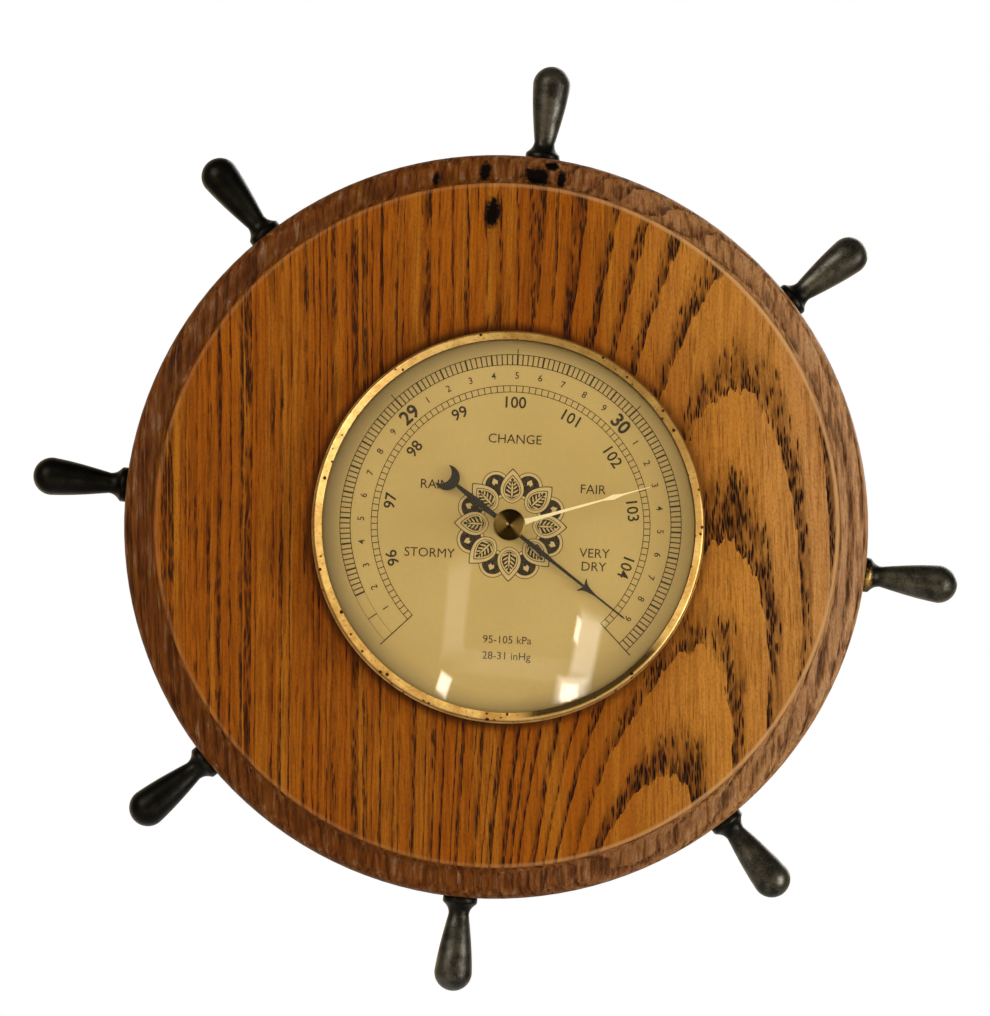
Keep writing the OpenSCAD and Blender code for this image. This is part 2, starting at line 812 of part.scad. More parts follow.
module sector_gear() {
    side = (half_teeth + 0.5) * 360 / sector_teeth;
    web = side - 9;
    color("goldenrod") at_case() translate([-centres, 0, sector_z]) rotate([0, 0, sector_turn])
        linear_extrude(gear_t) difference() {
            union() {
                circle(sector_hub_r);
                polygon(concat([[0, -sector_hub_r]], arc(0, 0, sector_root, -side, side, 24),
                    [[0, sector_hub_r]]));
                for (i = [-half_teeth:half_teeth]) rotate(i * 360 / sector_teeth)
                    polygon(tooth(sector_teeth, sector_r, sector_root - 0.1, sector_top));
            }
            polygon(concat(arc(0, 0, sector_root - rim_w, -web, web, 12),
                arc(0, 0, sector_hub_r + 1.5, web, -web, 6)));
            circle(sector_arbor_r + press_gap);
            translate([-tail_l, 0]) circle(tail_hole_r);
        }
}

module sector_arbor() {
    color("silver") at_case() translate([-centres, 0, 0]) {
        translate([0, 0, base_top + end_play])
            cylinder(r = sector_arbor_r, h = bridge_z - base_top - 2 * end_play);
        translate([0, 0, base_z]) cylinder(r = pivot_r, h = bridge_top - base_z);
    }
}

module pinion_arbor() {
    color("silver") at_case() clockwise(pointer_turn) {
        translate([0, 0, base_z]) cylinder(r = pivot_r, h = plate_t + 1);
        translate([0, 0, base_top + end_play])
            cylinder(r = arbor_r, h = set_shaft_z - 0.4 - base_top - end_play);
        translate([0, 0, sector_z - 0.4]) linear_extrude(gear_t + 0.8) {
            circle(pinion_root);
            for (i = [0:pinion_teeth - 1]) rotate((i + 0.5) * 360 / pinion_teeth)
                polygon(tooth(pinion_teeth, pinion_r, pinion_root - 0.1, pinion_top));
        }
    }
}

module spring_collet() {
    color("goldenrod") at_case() translate([0, 0, spring_z - collet_h / 2])
        linear_extrude(collet_h) difference() {
            circle(collet_r);
            circle(arbor_r + press_gap);
        }
}

// Hairspring: a flat spiral from the collet out to its stud, which stands above the axis
function spiral(shift) = [for (i = [0:spring_turns * 30])
    let (t = i / (spring_turns * 30), r = collet_r + (spring_out - collet_r) * t + shift,
        a = 90 - 360 * spring_turns * (1 - t)) [r * cos(a), r * sin(a)]];

module hairspring() {
    ring = spiral(spring_t);
    color("lightsteelblue") at_case() translate([0, 0, spring_z - spring_w / 2])
        linear_extrude(spring_w)
            polygon(concat(spiral(0), [for (i = [len(ring) - 1:-1:0]) ring[i]]));
}

module hairspring_stud() {
    color("goldenrod") at_case()
        translate([0, spring_out + spring_t + stud_pin_r + press_gap, base_top])
            cylinder(r = stud_pin_r, h = spring_z + spring_w - base_top);
}

// Bridge plate on its pillars

module bridge_pillars() {
    color("goldenrod") at_case() for (p = pillars) translate([p.x, p.y, base_top])
        difference() {
            cylinder(r = pillar_r, h = bridge_z - base_top);
            translate([0, 0, -1]) cylinder(r = small_r + screw_gap, h = bridge_z - base_top + 2);
        }
}

module pillar_screws() {
    color("silver") at_case() for (p = pillars) translate([p.x, p.y, base_z])
        mirror([0, 0, 1]) screw(small_head_r, small_head_h, small_r, plate_t + small_bite);
}

module bridge_plate() {
    color("goldenrod") at_case() translate([0, 0, bridge_z]) linear_extrude(plate_t)
        difference() {
            translate([(pillar_x[0] + pillar_x[1]) / 2, 0])
                rounded(pillar_x[1] - pillar_x[0] + 2 * bridge_edge,
                    2 * (pillar_y + bridge_edge), bridge_edge);
            for (p = pillars) translate(p) circle(small_r + screw_gap);
            circle(arbor_r + run_gap);
            translate([-centres, 0]) circle(pivot_r + run_gap);
        }
}

module bridge_screws() {
    color("silver") at_case() for (p = pillars) translate([p.x, p.y, bridge_top])
        screw(small_head_r, small_head_h, small_r, plate_t + small_bite);
}

// Hands

// A hand's blade of length l and width w along y. Each station gives a share of the
// length, and the share of the width there
module blade(l, w, stations) {
    polygon(concat([for (s = stations) [s[1] * w / 2, s[0] * l]],
        [for (i = [len(stations) - 1:-1:0]) [-stations[i][1] * w / 2, stations[i][0] * l]]));
}

// The pointer has an arrowhead with swept barbs, and a crescent at the end of its tail
module pointer() {
    barb = pointer_l * 0.625;
    crescent_y = crescent_r / 2 - tail_end;
    color([0.08, 0.08, 0.09]) at_case() translate([0, 0, pointer_z])
        clockwise(pointer_turn + dial_turn) linear_extrude(hand_t) difference() {
            union() {
                circle(hand_hub_r);
                blade(pointer_l, pointer_w, [[0.05, 0.8], [0.13, 0.8], [0.21, 1], [0.32, 1],
                    [0.385, 0.68], [0.625, 0.55], [0.744, 0.4], [0.98, 0.35], [1, 0.08]]);
                blade(pointer_l, head_w, [[0.625, 1], [0.633, 0.99], [0.654, 0.57],
                    [0.683, 0.34], [0.718, 0.2], [0.747, 0.12]]);
                blade(-tail_end, tail_w, [[0.09, 0.67], [0.23, 0.67], [0.35, 0.89], [0.48, 1],
                    [0.58, 0.78], [0.71, 0.6], [0.79, 0.47]]);
                translate([0, crescent_y]) circle(crescent_r);
            }
            for (x = [-pointer_w, pointer_w] * 0.27) polygon([[x, barb + head_notch],
                [x, barb - head_notch], [6 * x, barb - head_notch], [6 * x, barb]]);
            translate([0, crescent_y - bite_y]) circle(bite_r);
            circle(boss_neck_r + press_gap);
        }
}

module pointer_boss() {
    color("goldenrod") at_case() translate([0, 0, boss_z]) difference() {
        union() {
            cylinder(r = boss_r, h = pointer_z - boss_z);
            cylinder(r = boss_neck_r, h = boss_h);
        }
        translate([0, 0, -1]) cylinder(r = arbor_r + press_gap, h = boss_h + 2);
    }
}

module set_hand() {
    color("khaki") at_case() translate([0, 0, set_z]) clockwise(set_turn + dial_turn)
        linear_extrude(hand_t) difference() {
            union() {
                circle(hand_hub_r);
                blade(set_l, set_w, [[0.05, 2], [0.118, 1.2], [0.167, 0.86], [0.27, 0.65],
                    [0.67, 0.33], [0.742, 1], [0.806, 0.36], [0.89, 0.2], [1, 0.08]]);
            }
            circle(set_shaft_r + press_gap);
        }
}

module set_boss() {
    color("goldenrod") at_case() translate([0, 0, set_z + hand_t]) linear_extrude(set_boss_h)
        difference() {
            circle(set_boss_r);
            circle(set_shaft_r + press_gap);
        }
}

module set_shaft() {
    color("goldenrod") at_case() translate([0, 0, set_shaft_z])
        cylinder(r = set_shaft_r, h = knob_z + knob_bore_h - set_shaft_z);
}

module knob_bush() {
    color("goldenrod") at_case() difference() {
        union() {
            translate([0, 0, bush_z]) cylinder(r = bush_flange_r, h = bush_flange_t);
            translate([0, 0, bush_z]) cylinder(r = bush_r, h = bush_top - bush_z);
            translate([0, 0, bush_top - bush_flange_t])
                cylinder(r = bush_flange_r - 0.2, h = bush_flange_t);
        }
        translate([0, 0, bush_z - 1])
            cylinder(r = set_shaft_r + run_gap, h = bush_top - bush_z + 2);
    }
}

module knob_washer() {
    color("lightsteelblue") at_case() translate([0, 0, bush_top + face_gap])
        linear_extrude(washer_t - 2 * face_gap) difference() {
            circle(washer_r);
            circle(set_shaft_r + run_gap);
        }
}

knob_r = knob_d / 2;
knob_profile = [[0, 0], [knob_r - knob_edge, 0], [knob_r, knob_edge],
    [knob_r, knob_h - knob_cone_h], [knob_r - knob_edge, knob_h - 0.7 * knob_cone_h],
    [knob_dimple_r, knob_h], [0, knob_h - knob_dimple_r / 2]];

module set_knob() {
    color("darkgoldenrod") at_case() translate([0, 0, knob_z]) difference() {
        rotate_extrude() polygon(knob_profile);
        for (i = [1:knurls]) rotate([0, 0, i * 360 / knurls]) translate([knob_r, 0, 0])
            rotate([0, 0, 45]) cube([knurl_h, knurl_h, 4 * knob_h] * sqrt(2), center = true);
        translate([0, 0, -1]) cylinder(r = set_shaft_r + press_gap, h = knob_bore_h + 1);
    }
}

wheel_disc();
for (i = [1:handles]) handle(i);
handle_studs();
hanger_plate();
hanger_screws();
case_cup();
case_clips();
clip_screws();
dial_plate();
spacer_ring();
glass();
glass_gasket();
bezel();
base_plate();
base_spacers();
base_screws();
adjusting_leaf();
leaf_rivets();
adjusting_bush();
adjusting_screw();
capsule_stud();
capsule_nut();
capsule_lower();
capsule_upper();
capsule_post();
shaft_brackets();
bracket_screws();
rocking_shaft();
lift_finger();
rocking_arm();
link_wire();
sector_gear();
sector_arbor();
pinion_arbor();
spring_collet();
hairspring();
hairspring_stud();
bridge_pillars();
pillar_screws();
bridge_plate();
bridge_screws();
pointer();
pointer_boss();
set_hand();
set_boss();
set_shaft();
knob_bush();
knob_washer();
set_knob();
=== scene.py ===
"""Ship's wheel barometer: finishes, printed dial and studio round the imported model."""
import math

import bmesh
import bpy
from mathutils import Matrix, Vector


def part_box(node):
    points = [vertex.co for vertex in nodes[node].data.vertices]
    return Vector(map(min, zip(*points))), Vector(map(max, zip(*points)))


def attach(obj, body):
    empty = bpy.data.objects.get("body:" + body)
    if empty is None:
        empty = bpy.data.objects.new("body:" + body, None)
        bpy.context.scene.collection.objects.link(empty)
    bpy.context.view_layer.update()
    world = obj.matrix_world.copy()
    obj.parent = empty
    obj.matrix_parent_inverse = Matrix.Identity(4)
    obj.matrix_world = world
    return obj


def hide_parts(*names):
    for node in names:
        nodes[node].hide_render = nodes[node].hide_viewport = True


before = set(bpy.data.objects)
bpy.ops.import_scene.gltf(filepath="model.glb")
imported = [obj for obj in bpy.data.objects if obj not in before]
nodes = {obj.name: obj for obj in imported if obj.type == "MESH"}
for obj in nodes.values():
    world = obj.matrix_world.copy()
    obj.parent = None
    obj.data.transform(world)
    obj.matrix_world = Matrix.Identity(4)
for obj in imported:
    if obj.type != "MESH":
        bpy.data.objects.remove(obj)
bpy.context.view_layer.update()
studio = bpy.context.scene

# Camera: in front of the wheel, a little below it and to its left. The wheel hangs
# turned 6.8 degrees clockwise in the picture, so the camera is rolled by that.
MM = 0.001
HANG_TURN = math.radians(6.8)
PICTURE_RIGHT = Vector((math.cos(HANG_TURN), 0, math.sin(HANG_TURN)))
PICTURE_UP = Vector((-math.sin(HANG_TURN), 0, math.cos(HANG_TURN)))
CAMERA_D = 2.5
CAMERA_LEFT = math.radians(1.3)
CAMERA_BELOW = math.radians(2.4)
PICTURE_PIXELS, PIXEL = 1016, 0.2558 * MM
PICTURE_H = PICTURE_PIXELS * PIXEL
AIM_Y, AIM_UP, AIM_LEFT = -14 * MM, 4.9 * MM, 0.25 * MM
aim = Vector((0, AIM_Y, 0)) + AIM_UP * PICTURE_UP - AIM_LEFT * PICTURE_RIGHT
sight = (Vector((0, 1, 0)) + math.tan(CAMERA_LEFT) * PICTURE_RIGHT
         + math.tan(CAMERA_BELOW) * PICTURE_UP).normalized()
camera = bpy.data.objects.new("camera", bpy.data.cameras.new("camera"))
studio.collection.objects.link(camera)
camera.data.lens = camera.data.sensor_width * CAMERA_D / PICTURE_H
across = sight.cross(PICTURE_UP).normalized()
turn = Matrix((across, across.cross(sight), -sight)).transposed().to_4x4()
camera.matrix_world = Matrix.Translation(aim - CAMERA_D * sight) @ turn
studio.camera = camera

# Wheel: one board of flat-sawn oak, turned with a moulded edge, stained golden brown and
# oiled. Its pores are open, and the growth rings arch over each other on the right.


def linear(code):
    """A colour written as sRGB hex, as the linear colour that shaders work with."""
    parts = [int(code[i:i + 2], 16) / 255 for i in (1, 3, 5)]
    return [c / 12.92 if c <= 0.04045 else ((c + 0.055) / 1.055) ** 2.4 for c in parts] + [1]


def give(tree, made, sockets):
    """Sets the sockets of a shader node to values, or links them to outputs."""
    for name, value in sockets.items():
        if isinstance(value, bpy.types.NodeSocket):
            tree.links.new(value, made.inputs[name])
        else:
            made.inputs[name].default_value = value


def add(tree, kind, sockets, **settings):
    """A shader node of that kind, with its settings and its sockets."""
    made = tree.nodes.new("ShaderNode" + kind)
    for name, value in settings.items():
        setattr(made, name, value)
    give(tree, made, sockets)
    return made


def spot(tree):
    """The place on the object in metres. In the surround it is the direction."""
    return add(tree, "TexCoord", {}).outputs["Object"]


def calc(tree, how, *values):
    """One step of arithmetic with numbers."""
    return add(tree, "Math", dict(enumerate(values)), operation=how).outputs[0]


def vector(tree, how, *values):
    """One step of arithmetic with vectors. A length or a dot product is a number."""
    made = add(tree, "VectorMath", dict(enumerate(values)), operation=how)
    return made.outputs["Value" if how in ("LENGTH", "DOT_PRODUCT") else "Vector"]


def ramp(tree, value, low, high, start_at=0.0, end_at=1.0, soft=False):
    """Goes from one number to the other while the value goes from low to high."""
    return add(tree, "MapRange", {"Value": value, "From Min": low, "From Max": high,
                                  "To Min": start_at, "To Max": end_at},
               interpolation_type="SMOOTHSTEP" if soft else "LINEAR").outputs[0]


def noise(tree, at, scale, detail, roughness=0.5):
    """Soft clouds between 0 and 1."""
    return add(tree, "TexNoise", {"Vector": at, "Scale": scale, "Detail": detail,
                                  "Roughness": roughness}).outputs[0]


def grain(tree, at, scale, detail, roughness=0.5):
    """Soft clouds stretched with the board, by one scale per millimetre for each axis."""
    return noise(tree, vector(tree, "MULTIPLY", at, scale), 1.0, detail, roughness)


def cells(tree, at, size):
    """Scattered cells of that size in millimetres, with their distances and colours."""
    at = vector(tree, "MULTIPLY", at, [1 / c for c in size])
    return add(tree, "TexVoronoi", {"Vector": at, "Scale": 1.0}, voronoi_dimensions="3D")


def mixed(tree, share, under, over):
    """Two colours mixed. Each is an output, linear or an sRGB hex."""
    under, over = (linear(c) if isinstance(c, str) else c for c in (under, over))
    return add(tree, "Mix", {0: share, 6: under, 7: over}, data_type="RGBA").outputs[2]


def reach(tree, place, x, z):
    """Distance in millimetres from the point at x and z, as seen from the front."""
    way = vector(tree, "SUBTRACT", place, (x * MM, 0, z * MM))
    return vector(tree, "LENGTH", vector(tree, "MULTIPLY", way, (1 / MM, 0, 1 / MM)))


def emboss(tree, surface, height, strength, deep):
    """Fine relief too small for the mesh, that many millimetres deep."""
    bump = add(tree, "Bump", {"Height": height, "Strength": strength, "Distance": deep * MM})
    give(tree, surface, {"Normal": bump.outputs[0]})


def start(name):
    """A new material, with its node tree and its surface shader."""
    finish = bpy.data.materials.new(name)
    finish.use_nodes = True
    return finish, finish.node_tree, finish.node_tree.nodes["Principled BSDF"]


def wear(finish, *names):
    """The finish goes on the carried-over pieces of those names."""
    for name in names:
        nodes[name].data.materials.clear()
        nodes[name].data.materials.append(finish)


# Flat-sawn oak, stained and oiled: the eye sees dark open pores in rows, fine fibres and
# a satin sheen, with a greyer, worn moulding. The board's own axes have z along the
# fibres, which stand upright in the picture. Its sizes are in millimetres.
oak, tree, surface = start("stained_oak")
place = spot(tree)
board = add(tree, "Mapping", {"Vector": place, "Rotation": (0, HANG_TURN, 0),
                              "Scale": (1 / MM, 1 / MM, 1 / MM)}).outputs["Vector"]
ALONG_FROM = 4.9
slow = vector(tree, "MULTIPLY", board, (0.021, 0.021, 0.007))
sway = add(tree, "TexNoise", {"Vector": slow, "Scale": 1.0, "Detail": 1.0})
sway = vector(tree, "SUBTRACT", sway.outputs["Color"], (0.5, 0.5, 0.5))
bent = vector(tree, "MULTIPLY_ADD", sway, (9, 5, 5), board)
ringward = vector(tree, "MULTIPLY_ADD", sway, (4, 0, 0), board)
side, depth, along = add(tree, "SeparateXYZ", {0: ringward}).outputs
along = calc(tree, "ADD", along, ALONG_FROM)

# The heart of the tree lies right of the middle and leans to the left further down. It
# also climbs along the board, so its rings come to the face as arches.
HEART_SIDE, HEART_DEEP, HEART_CLIMB = 58.3, 82.1, 0.0885
LEAN_UP, LEAN_MORE_DOWN = 0.084, 0.174
SWELL_W, SWELL_H = 14, 6.0
upper = calc(tree, "MAXIMUM", along, 0.0)
right_part = calc(tree, "MULTIPLY_ADD", upper, -0.25, side)
right_part = ramp(tree, right_part, -35, 30, soft=True)
lean = calc(tree, "MINIMUM", along, 0.0)
lean = calc(tree, "MULTIPLY", lean, LEAN_MORE_DOWN)
lean = calc(tree, "MULTIPLY_ADD", along, LEAN_UP, lean)
heart = calc(tree, "MULTIPLY_ADD", lean, right_part, HEART_SIDE)
from_heart = calc(tree, "SUBTRACT", side, heart)
swell = calc(tree, "MULTIPLY_ADD", along, 1 / SWELL_W, 1 / SWELL_W)
swell = calc(tree, "MULTIPLY", swell, swell)
swell = calc(tree, "MULTIPLY", swell, -1.0)
swell = calc(tree, "EXPONENT", swell)
climb = calc(tree, "MULTIPLY_ADD", swell, SWELL_H, along)
climb = calc(tree, "MULTIPLY", climb, right_part)
climb = calc(tree, "MULTIPLY_ADD", climb, HEART_CLIMB, HEART_DEEP)
height = calc(tree, "ADD", climb, depth)
cut = add(tree, "CombineXYZ", {0: from_heart, 1: height, 2: 0.0})
radius = vector(tree, "LENGTH", cut.outputs[0])
fray = grain(tree, board, (0.6, 0.6, 0.11), 2.0)
radius = calc(tree, "MULTIPLY_ADD", fray, 0.8, radius)

# Year rings: wide and narrow years take turns on the left, and each begins with a band of
# open spring wood that is dense in patches
RING_W = 2.9
years = calc(tree, "MULTIPLY", radius, 0.23)
years = add(tree, "TexNoise", {"W": years, "Scale": 1.0, "Detail": 2.0},
            noise_dimensions="1D").outputs[0]
years = calc(tree, "MULTIPLY", years, 9.0)
left_part = calc(tree, "SUBTRACT", 1.0, right_part)
radius = calc(tree, "MULTIPLY_ADD", years, left_part, radius)
ring = calc(tree, "DIVIDE", radius, RING_W)
share = calc(tree, "FRACT", ring)
number = calc(tree, "FLOOR", ring)
year = add(tree, "TexWhiteNoise", {"W": number}, noise_dimensions="1D").outputs["Value"]
rich = ramp(tree, year, 0, 1, 0.7, 1.0)
early = ramp(tree, share, 0.05, 0.48, 1.0, 0.0)
early = calc(tree, "POWER", early, 0.9)
patch = grain(tree, board, (0.16, 0.16, 0.045), 2.0)
least = ramp(tree, right_part, 0, 1, 0.25, 0.6)
patch = ramp(tree, patch, 0.4, 0.58, least, 1.0)
early = calc(tree, "MULTIPLY", early, rich)
dense = calc(tree, "MULTIPLY", early, patch)

# Pores of the spring wood, half a millimetre wide and a few long
wide = cells(tree, bent, (0.45, 0.8, 3.2))
chance = add(tree, "SeparateColor", {0: wide.outputs["Color"]}).outputs[0]
opened = calc(tree, "MULTIPLY_ADD", dense, 1.7, -0.1)
opened = calc(tree, "SUBTRACT", opened, chance)
opened = ramp(tree, opened, 0.0, 0.2)
pore = ramp(tree, wide.outputs["Distance"], 0.36, 0.7, 1.0, 0.0)
pore = calc(tree, "MULTIPLY", pore, opened)
clean = ramp(tree, right_part, 0, 1, 0.8, 1.0)
pore = calc(tree, "MULTIPLY", pore, clean)

# The moulding begins outside the flat face. The plain back has none of its wear
FACE_R = 86.7
out = reach(tree, place, 0, 0)
forward = add(tree, "SeparateXYZ", {0: place}).outputs[1]
forward = ramp(tree, forward, -2 * MM, -6 * MM)
moulding = ramp(tree, out, FACE_R - 0.1, FACE_R + 1.3, 0.0, 0.75, soft=True)
moulding = calc(tree, "MULTIPLY", moulding, forward)
faint = calc(tree, "MULTIPLY_ADD", moulding, -0.7, 1.0)
pore = calc(tree, "MULTIPLY", pore, faint)
dense = calc(tree, "MULTIPLY", dense, faint)

# Finer pores of the summer wood, drawn up to 0.4 mm wide so that they show
narrow = cells(tree, bent, (0.42, 0.6, 6.5))
chance = add(tree, "SeparateColor", {0: narrow.outputs["Color"]}).outputs[1]
few = ramp(tree, chance, 0.4, 0.75)
fine = ramp(tree, narrow.outputs["Distance"], 0.15, 0.5, 1.0, 0.0)
fine = calc(tree, "MULTIPLY", fine, few)

# Fibres, broad bands of lighter wood, broken dark dashes and slow clouds of stain
fibre = grain(tree, bent, (1.4, 1.4, 0.04), 4.0, 0.65)
band = grain(tree, bent, (0.24, 0.24, 0.006), 3.0)
dash = grain(tree, bent, (0.75, 0.75, 0.12), 2.0)
cloud = grain(tree, board, (0.03, 0.03, 0.015), 2.0)

# Tone of the board: redder on the left, golden and lighter on the right, partly as painted
# light from the right, and paler still at the far right; greyer on the moulding, with
# painted shade on its left and painted light on its right
# Painted light: the ground colour grows lighter towards the right, where the light comes
# from
ground = ramp(tree, side, 22, 58, soft=True)
ground = mixed(tree, ground, "#a1560a", "#c98633")
paler_far_right = ramp(tree, side, 62, 86, 0.0, 0.55)
ground = mixed(tree, paler_far_right, ground, "#cd9c66")
tone = ramp(tree, cloud, 0.3, 0.7, 0.0, 0.35)
ground = mixed(tree, tone, ground, "#7c3a03")
light = ramp(tree, band, 0.5, 0.72, 0.0, 0.6)
ground = mixed(tree, light, ground, "#b4741e")
# Painted light on the worn grey moulding: painted shade on the left, painted light on the
# right
worn_grey_and_painted_light = ramp(tree, side, -5, 85)
worn_grey_and_painted_light = mixed(tree, worn_grey_and_painted_light, "#633a16", "#b0845a")
ground = mixed(tree, moulding, ground, worn_grey_and_painted_light)
old = grain(tree, bent, (0.75, 0.5, 0.1), 3.0)
darkening = ramp(tree, old, 0.5, 0.64)
darkening = calc(tree, "MULTIPLY", darkening, moulding)
darkening = calc(tree, "MULTIPLY", darkening, 0.9)
ground = mixed(tree, darkening, ground, "#2e1808")
pale = ramp(tree, old, 0.44, 0.32)
pale = calc(tree, "MULTIPLY", pale, moulding)
pale = calc(tree, "MULTIPLY", pale, 0.6)
ground = mixed(tree, pale, ground, "#a88a68")

# Marks of the grain over that tone, from the faintest fibres to the open pores
streak = ramp(tree, fibre, 0.42, 0.66, 0.0, 0.65)
calm = calc(tree, "MULTIPLY_ADD", right_part, -0.35, 1.0)
streak = calc(tree, "MULTIPLY", streak, calm)
ground = mixed(tree, streak, ground, "#622a02")
thin = calc(tree, "MULTIPLY", fine, 0.6)
ground = mixed(tree, thin, ground, "#502004")
grit = grain(tree, board, (2.4, 2.4, 1.2), 2.0)
grit = ramp(tree, grit, 0.45, 0.7, 0.0, 0.34)
ground = mixed(tree, grit, ground, "#5a2806")
onset = ramp(tree, share, 0.0, 0.12, 0.25, 0.85)
spring = calc(tree, "MULTIPLY", dense, onset)
ground = mixed(tree, spring, ground, "#4e2004")
dash = ramp(tree, dash, 0.46, 0.6)
dash = calc(tree, "MULTIPLY", dash, early)
dash = calc(tree, "MULTIPLY", dash, 0.8)
ground = mixed(tree, dash, ground, "#2e0e01")
ground = mixed(tree, pore, ground, "#1c0a03")

# A knot and dark flaws near the top, each with its centre and half width and height, in
# millimetres
FLAWS = [(-10.6, 79.0, 2.1, 4.4), (-0.4, 89.8, 4.0, 2.8), (3.1, 92.8, 2.1, 1.3),
         (5.9, 89.9, 1.3, 2.5), (-13.6, 89.5, 1.5, 2.9), (-25.9, 85.9, 0.8, 2.2)]
ragged = noise(tree, place, 900.0, 2.0)
flaw = None
for x, z, half_w, half_h in FLAWS:
    away = vector(tree, "SUBTRACT", place, (x * MM, 0, z * MM))
    away = vector(tree, "MULTIPLY", away, (1 / half_w / MM, 0, 1 / half_h / MM))
    away = vector(tree, "LENGTH", away)
    away = calc(tree, "MULTIPLY_ADD", ragged, 0.9, away)
    mark = ramp(tree, away, 1.1, 1.6, 1.0, 0.0)
    if flaw:
        mark = calc(tree, "MAXIMUM", flaw, mark)
    flaw = mark
flaw = calc(tree, "MULTIPLY", flaw, forward)
ground = mixed(tree, flaw, ground, "#080301")

# The edge of the flat face is pale, partly rubbed and partly a painted highlight, strongest
# on the right, where the light comes from
edge = calc(tree, "SUBTRACT", out, FACE_R)
edge = calc(tree, "ABSOLUTE", edge)
edge = ramp(tree, edge, 0.15, 0.7, 1.0, 0.0)
edge_wear_and_highlight = ramp(tree, side, -10, 70, 0.14, 0.8)
edge_wear_and_highlight = calc(tree, "MULTIPLY", edge_wear_and_highlight, forward)
edge = calc(tree, "MULTIPLY", edge, edge_wear_and_highlight)
ground = mixed(tree, edge, ground, "#c39460")

# Painted shadow of the brass ring on the wood, with some dark old wax, strongest on the
# left, away from the light; the ring sits a little right of the middle
CASE_X, CASE_Z = 2.8, -0.2
BEZEL_R = 50.0
wax_and_painted_shadow = reach(tree, place, CASE_X, CASE_Z)
wax_and_painted_shadow = ramp(tree, wax_and_painted_shadow, BEZEL_R + 0.2, BEZEL_R + 2.8, 0.8, 0.0, soft=True)
# Painted shadow: stronger on the left, away from the light
shadow_side = ramp(tree, side, 0, 45, 1.0, 0.6)
wax_and_painted_shadow = calc(tree, "MULTIPLY", wax_and_painted_shadow, shadow_side)
wax_and_painted_shadow = calc(tree, "MULTIPLY", wax_and_painted_shadow, forward)
ground = mixed(tree, wax_and_painted_shadow, ground, "#2a1204")
give(tree, surface, {"Base Color": ground, "Roughness": ramp(tree, pore, 0, 1, 0.42, 0.7),
                     "Specular IOR Level": 0.06})
relief = calc(tree, "MULTIPLY", fibre, 0.35)
emboss(tree, surface, calc(tree, "SUBTRACT", relief, pore), 0.6, 0.12)
wear(oak, "wheel_disc")

# Handles: eight turned brass handles, blackened to look like old bronze. Each has a
# trumpet collar against the rim, and is screwed on a stud in the wood.
HANDLES = 8
HANDLE_SEAT_R = 94.7
BOARD_MIDDLE = 14.0
# A drawing lies face up and is in millimetres. This stands it up in metres, facing -y
FACE_OUT = Matrix.Rotation(math.radians(90), 4, "X") @ Matrix.Scale(MM, 4)
# Degrees by which each handle stands clockwise of even spacing
HANDLE_OFF = (0.4, 0.6, 0.5, 0.1, -1.3, -0.7, -0.3, 0.0)
BORE_R, BORE_END, BORE_TIP = 1.56, 8.95, 9.0
COLLAR = [(BORE_R, 0.0), (3.9, 0.0), (4.25, 0.12), (4.4, 0.4), (4.4, 1.35), (4.3, 1.7),
          (4.0, 2.0), (3.6, 2.35), (3.2, 2.8), (2.9, 3.3), (2.7, 3.9)]
BORE = [(BORE_R, 0.0), (BORE_R, BORE_END), (0.0, BORE_TIP)]
NECK_R, NECK_Z = 2.6, 4.6
GRIP_R, GRIP_Z = 4.8, 19.5
TAPER = [(NECK_R + (GRIP_R - NECK_R) * (t + math.sin(math.pi / 2 * t)) / 2,
          NECK_Z + (GRIP_Z - NECK_Z) * t) for t in (k / 10 for k in range(11))]
END = [(GRIP_R * math.cos(math.radians(a)), GRIP_Z + GRIP_R * math.sin(math.radians(a)))
       for a in range(9, 90, 9)]
HANDLE_PROFILE = COLLAR + TAPER + END + [(0.0, GRIP_Z + GRIP_R)]


def lathe(bm, profile, steps):
    """Turns a profile of radii and heights about the z axis."""
    points = [bm.verts.new((r, 0, z)) for r, z in profile]
    edges = [bm.edges.new(pair) for pair in zip(points, points[1:])]
    bmesh.ops.spin(bm, geom=points + edges, axis=(0, 0, 1), cent=(0, 0, 0), steps=steps,
                   angle=math.radians(360), use_merge=True)
    bmesh.ops.remove_doubles(bm, verts=bm.verts, dist=1e-4)


def finished(name, bm, finishes, sharp=32):
    """The piece's object, from a mesh that already stands in its place."""
    mesh = bpy.data.meshes.new(name)
    bm.to_mesh(mesh)
    bm.free()
    for finish in finishes:
        mesh.materials.append(finish)
    mesh.shade_smooth()
    mesh.set_sharp_from_angle(angle=math.radians(sharp))
    piece = bpy.data.objects.new(name, mesh)
    studio.collection.objects.link(piece)
    return piece


# Blackened, lacquered brass: dark grey, with painted shade that makes it blacker on the
# left, away from the light, and in the collars, with a finely pitted skin, and yellow metal
# where a collar has been knocked
bronze, tree, surface = start("blackened_bronze")
place = spot(tree)
skin = noise(tree, place, 1600.0, 3.0, 0.7)
rub = noise(tree, place, 260.0, 4.0)
rub = calc(tree, "MULTIPLY_ADD", skin, 0.6, rub)
rub = ramp(tree, rub, 0.65, 1.0)
hue = mixed(tree, rub, "#26241e", "#57544a")
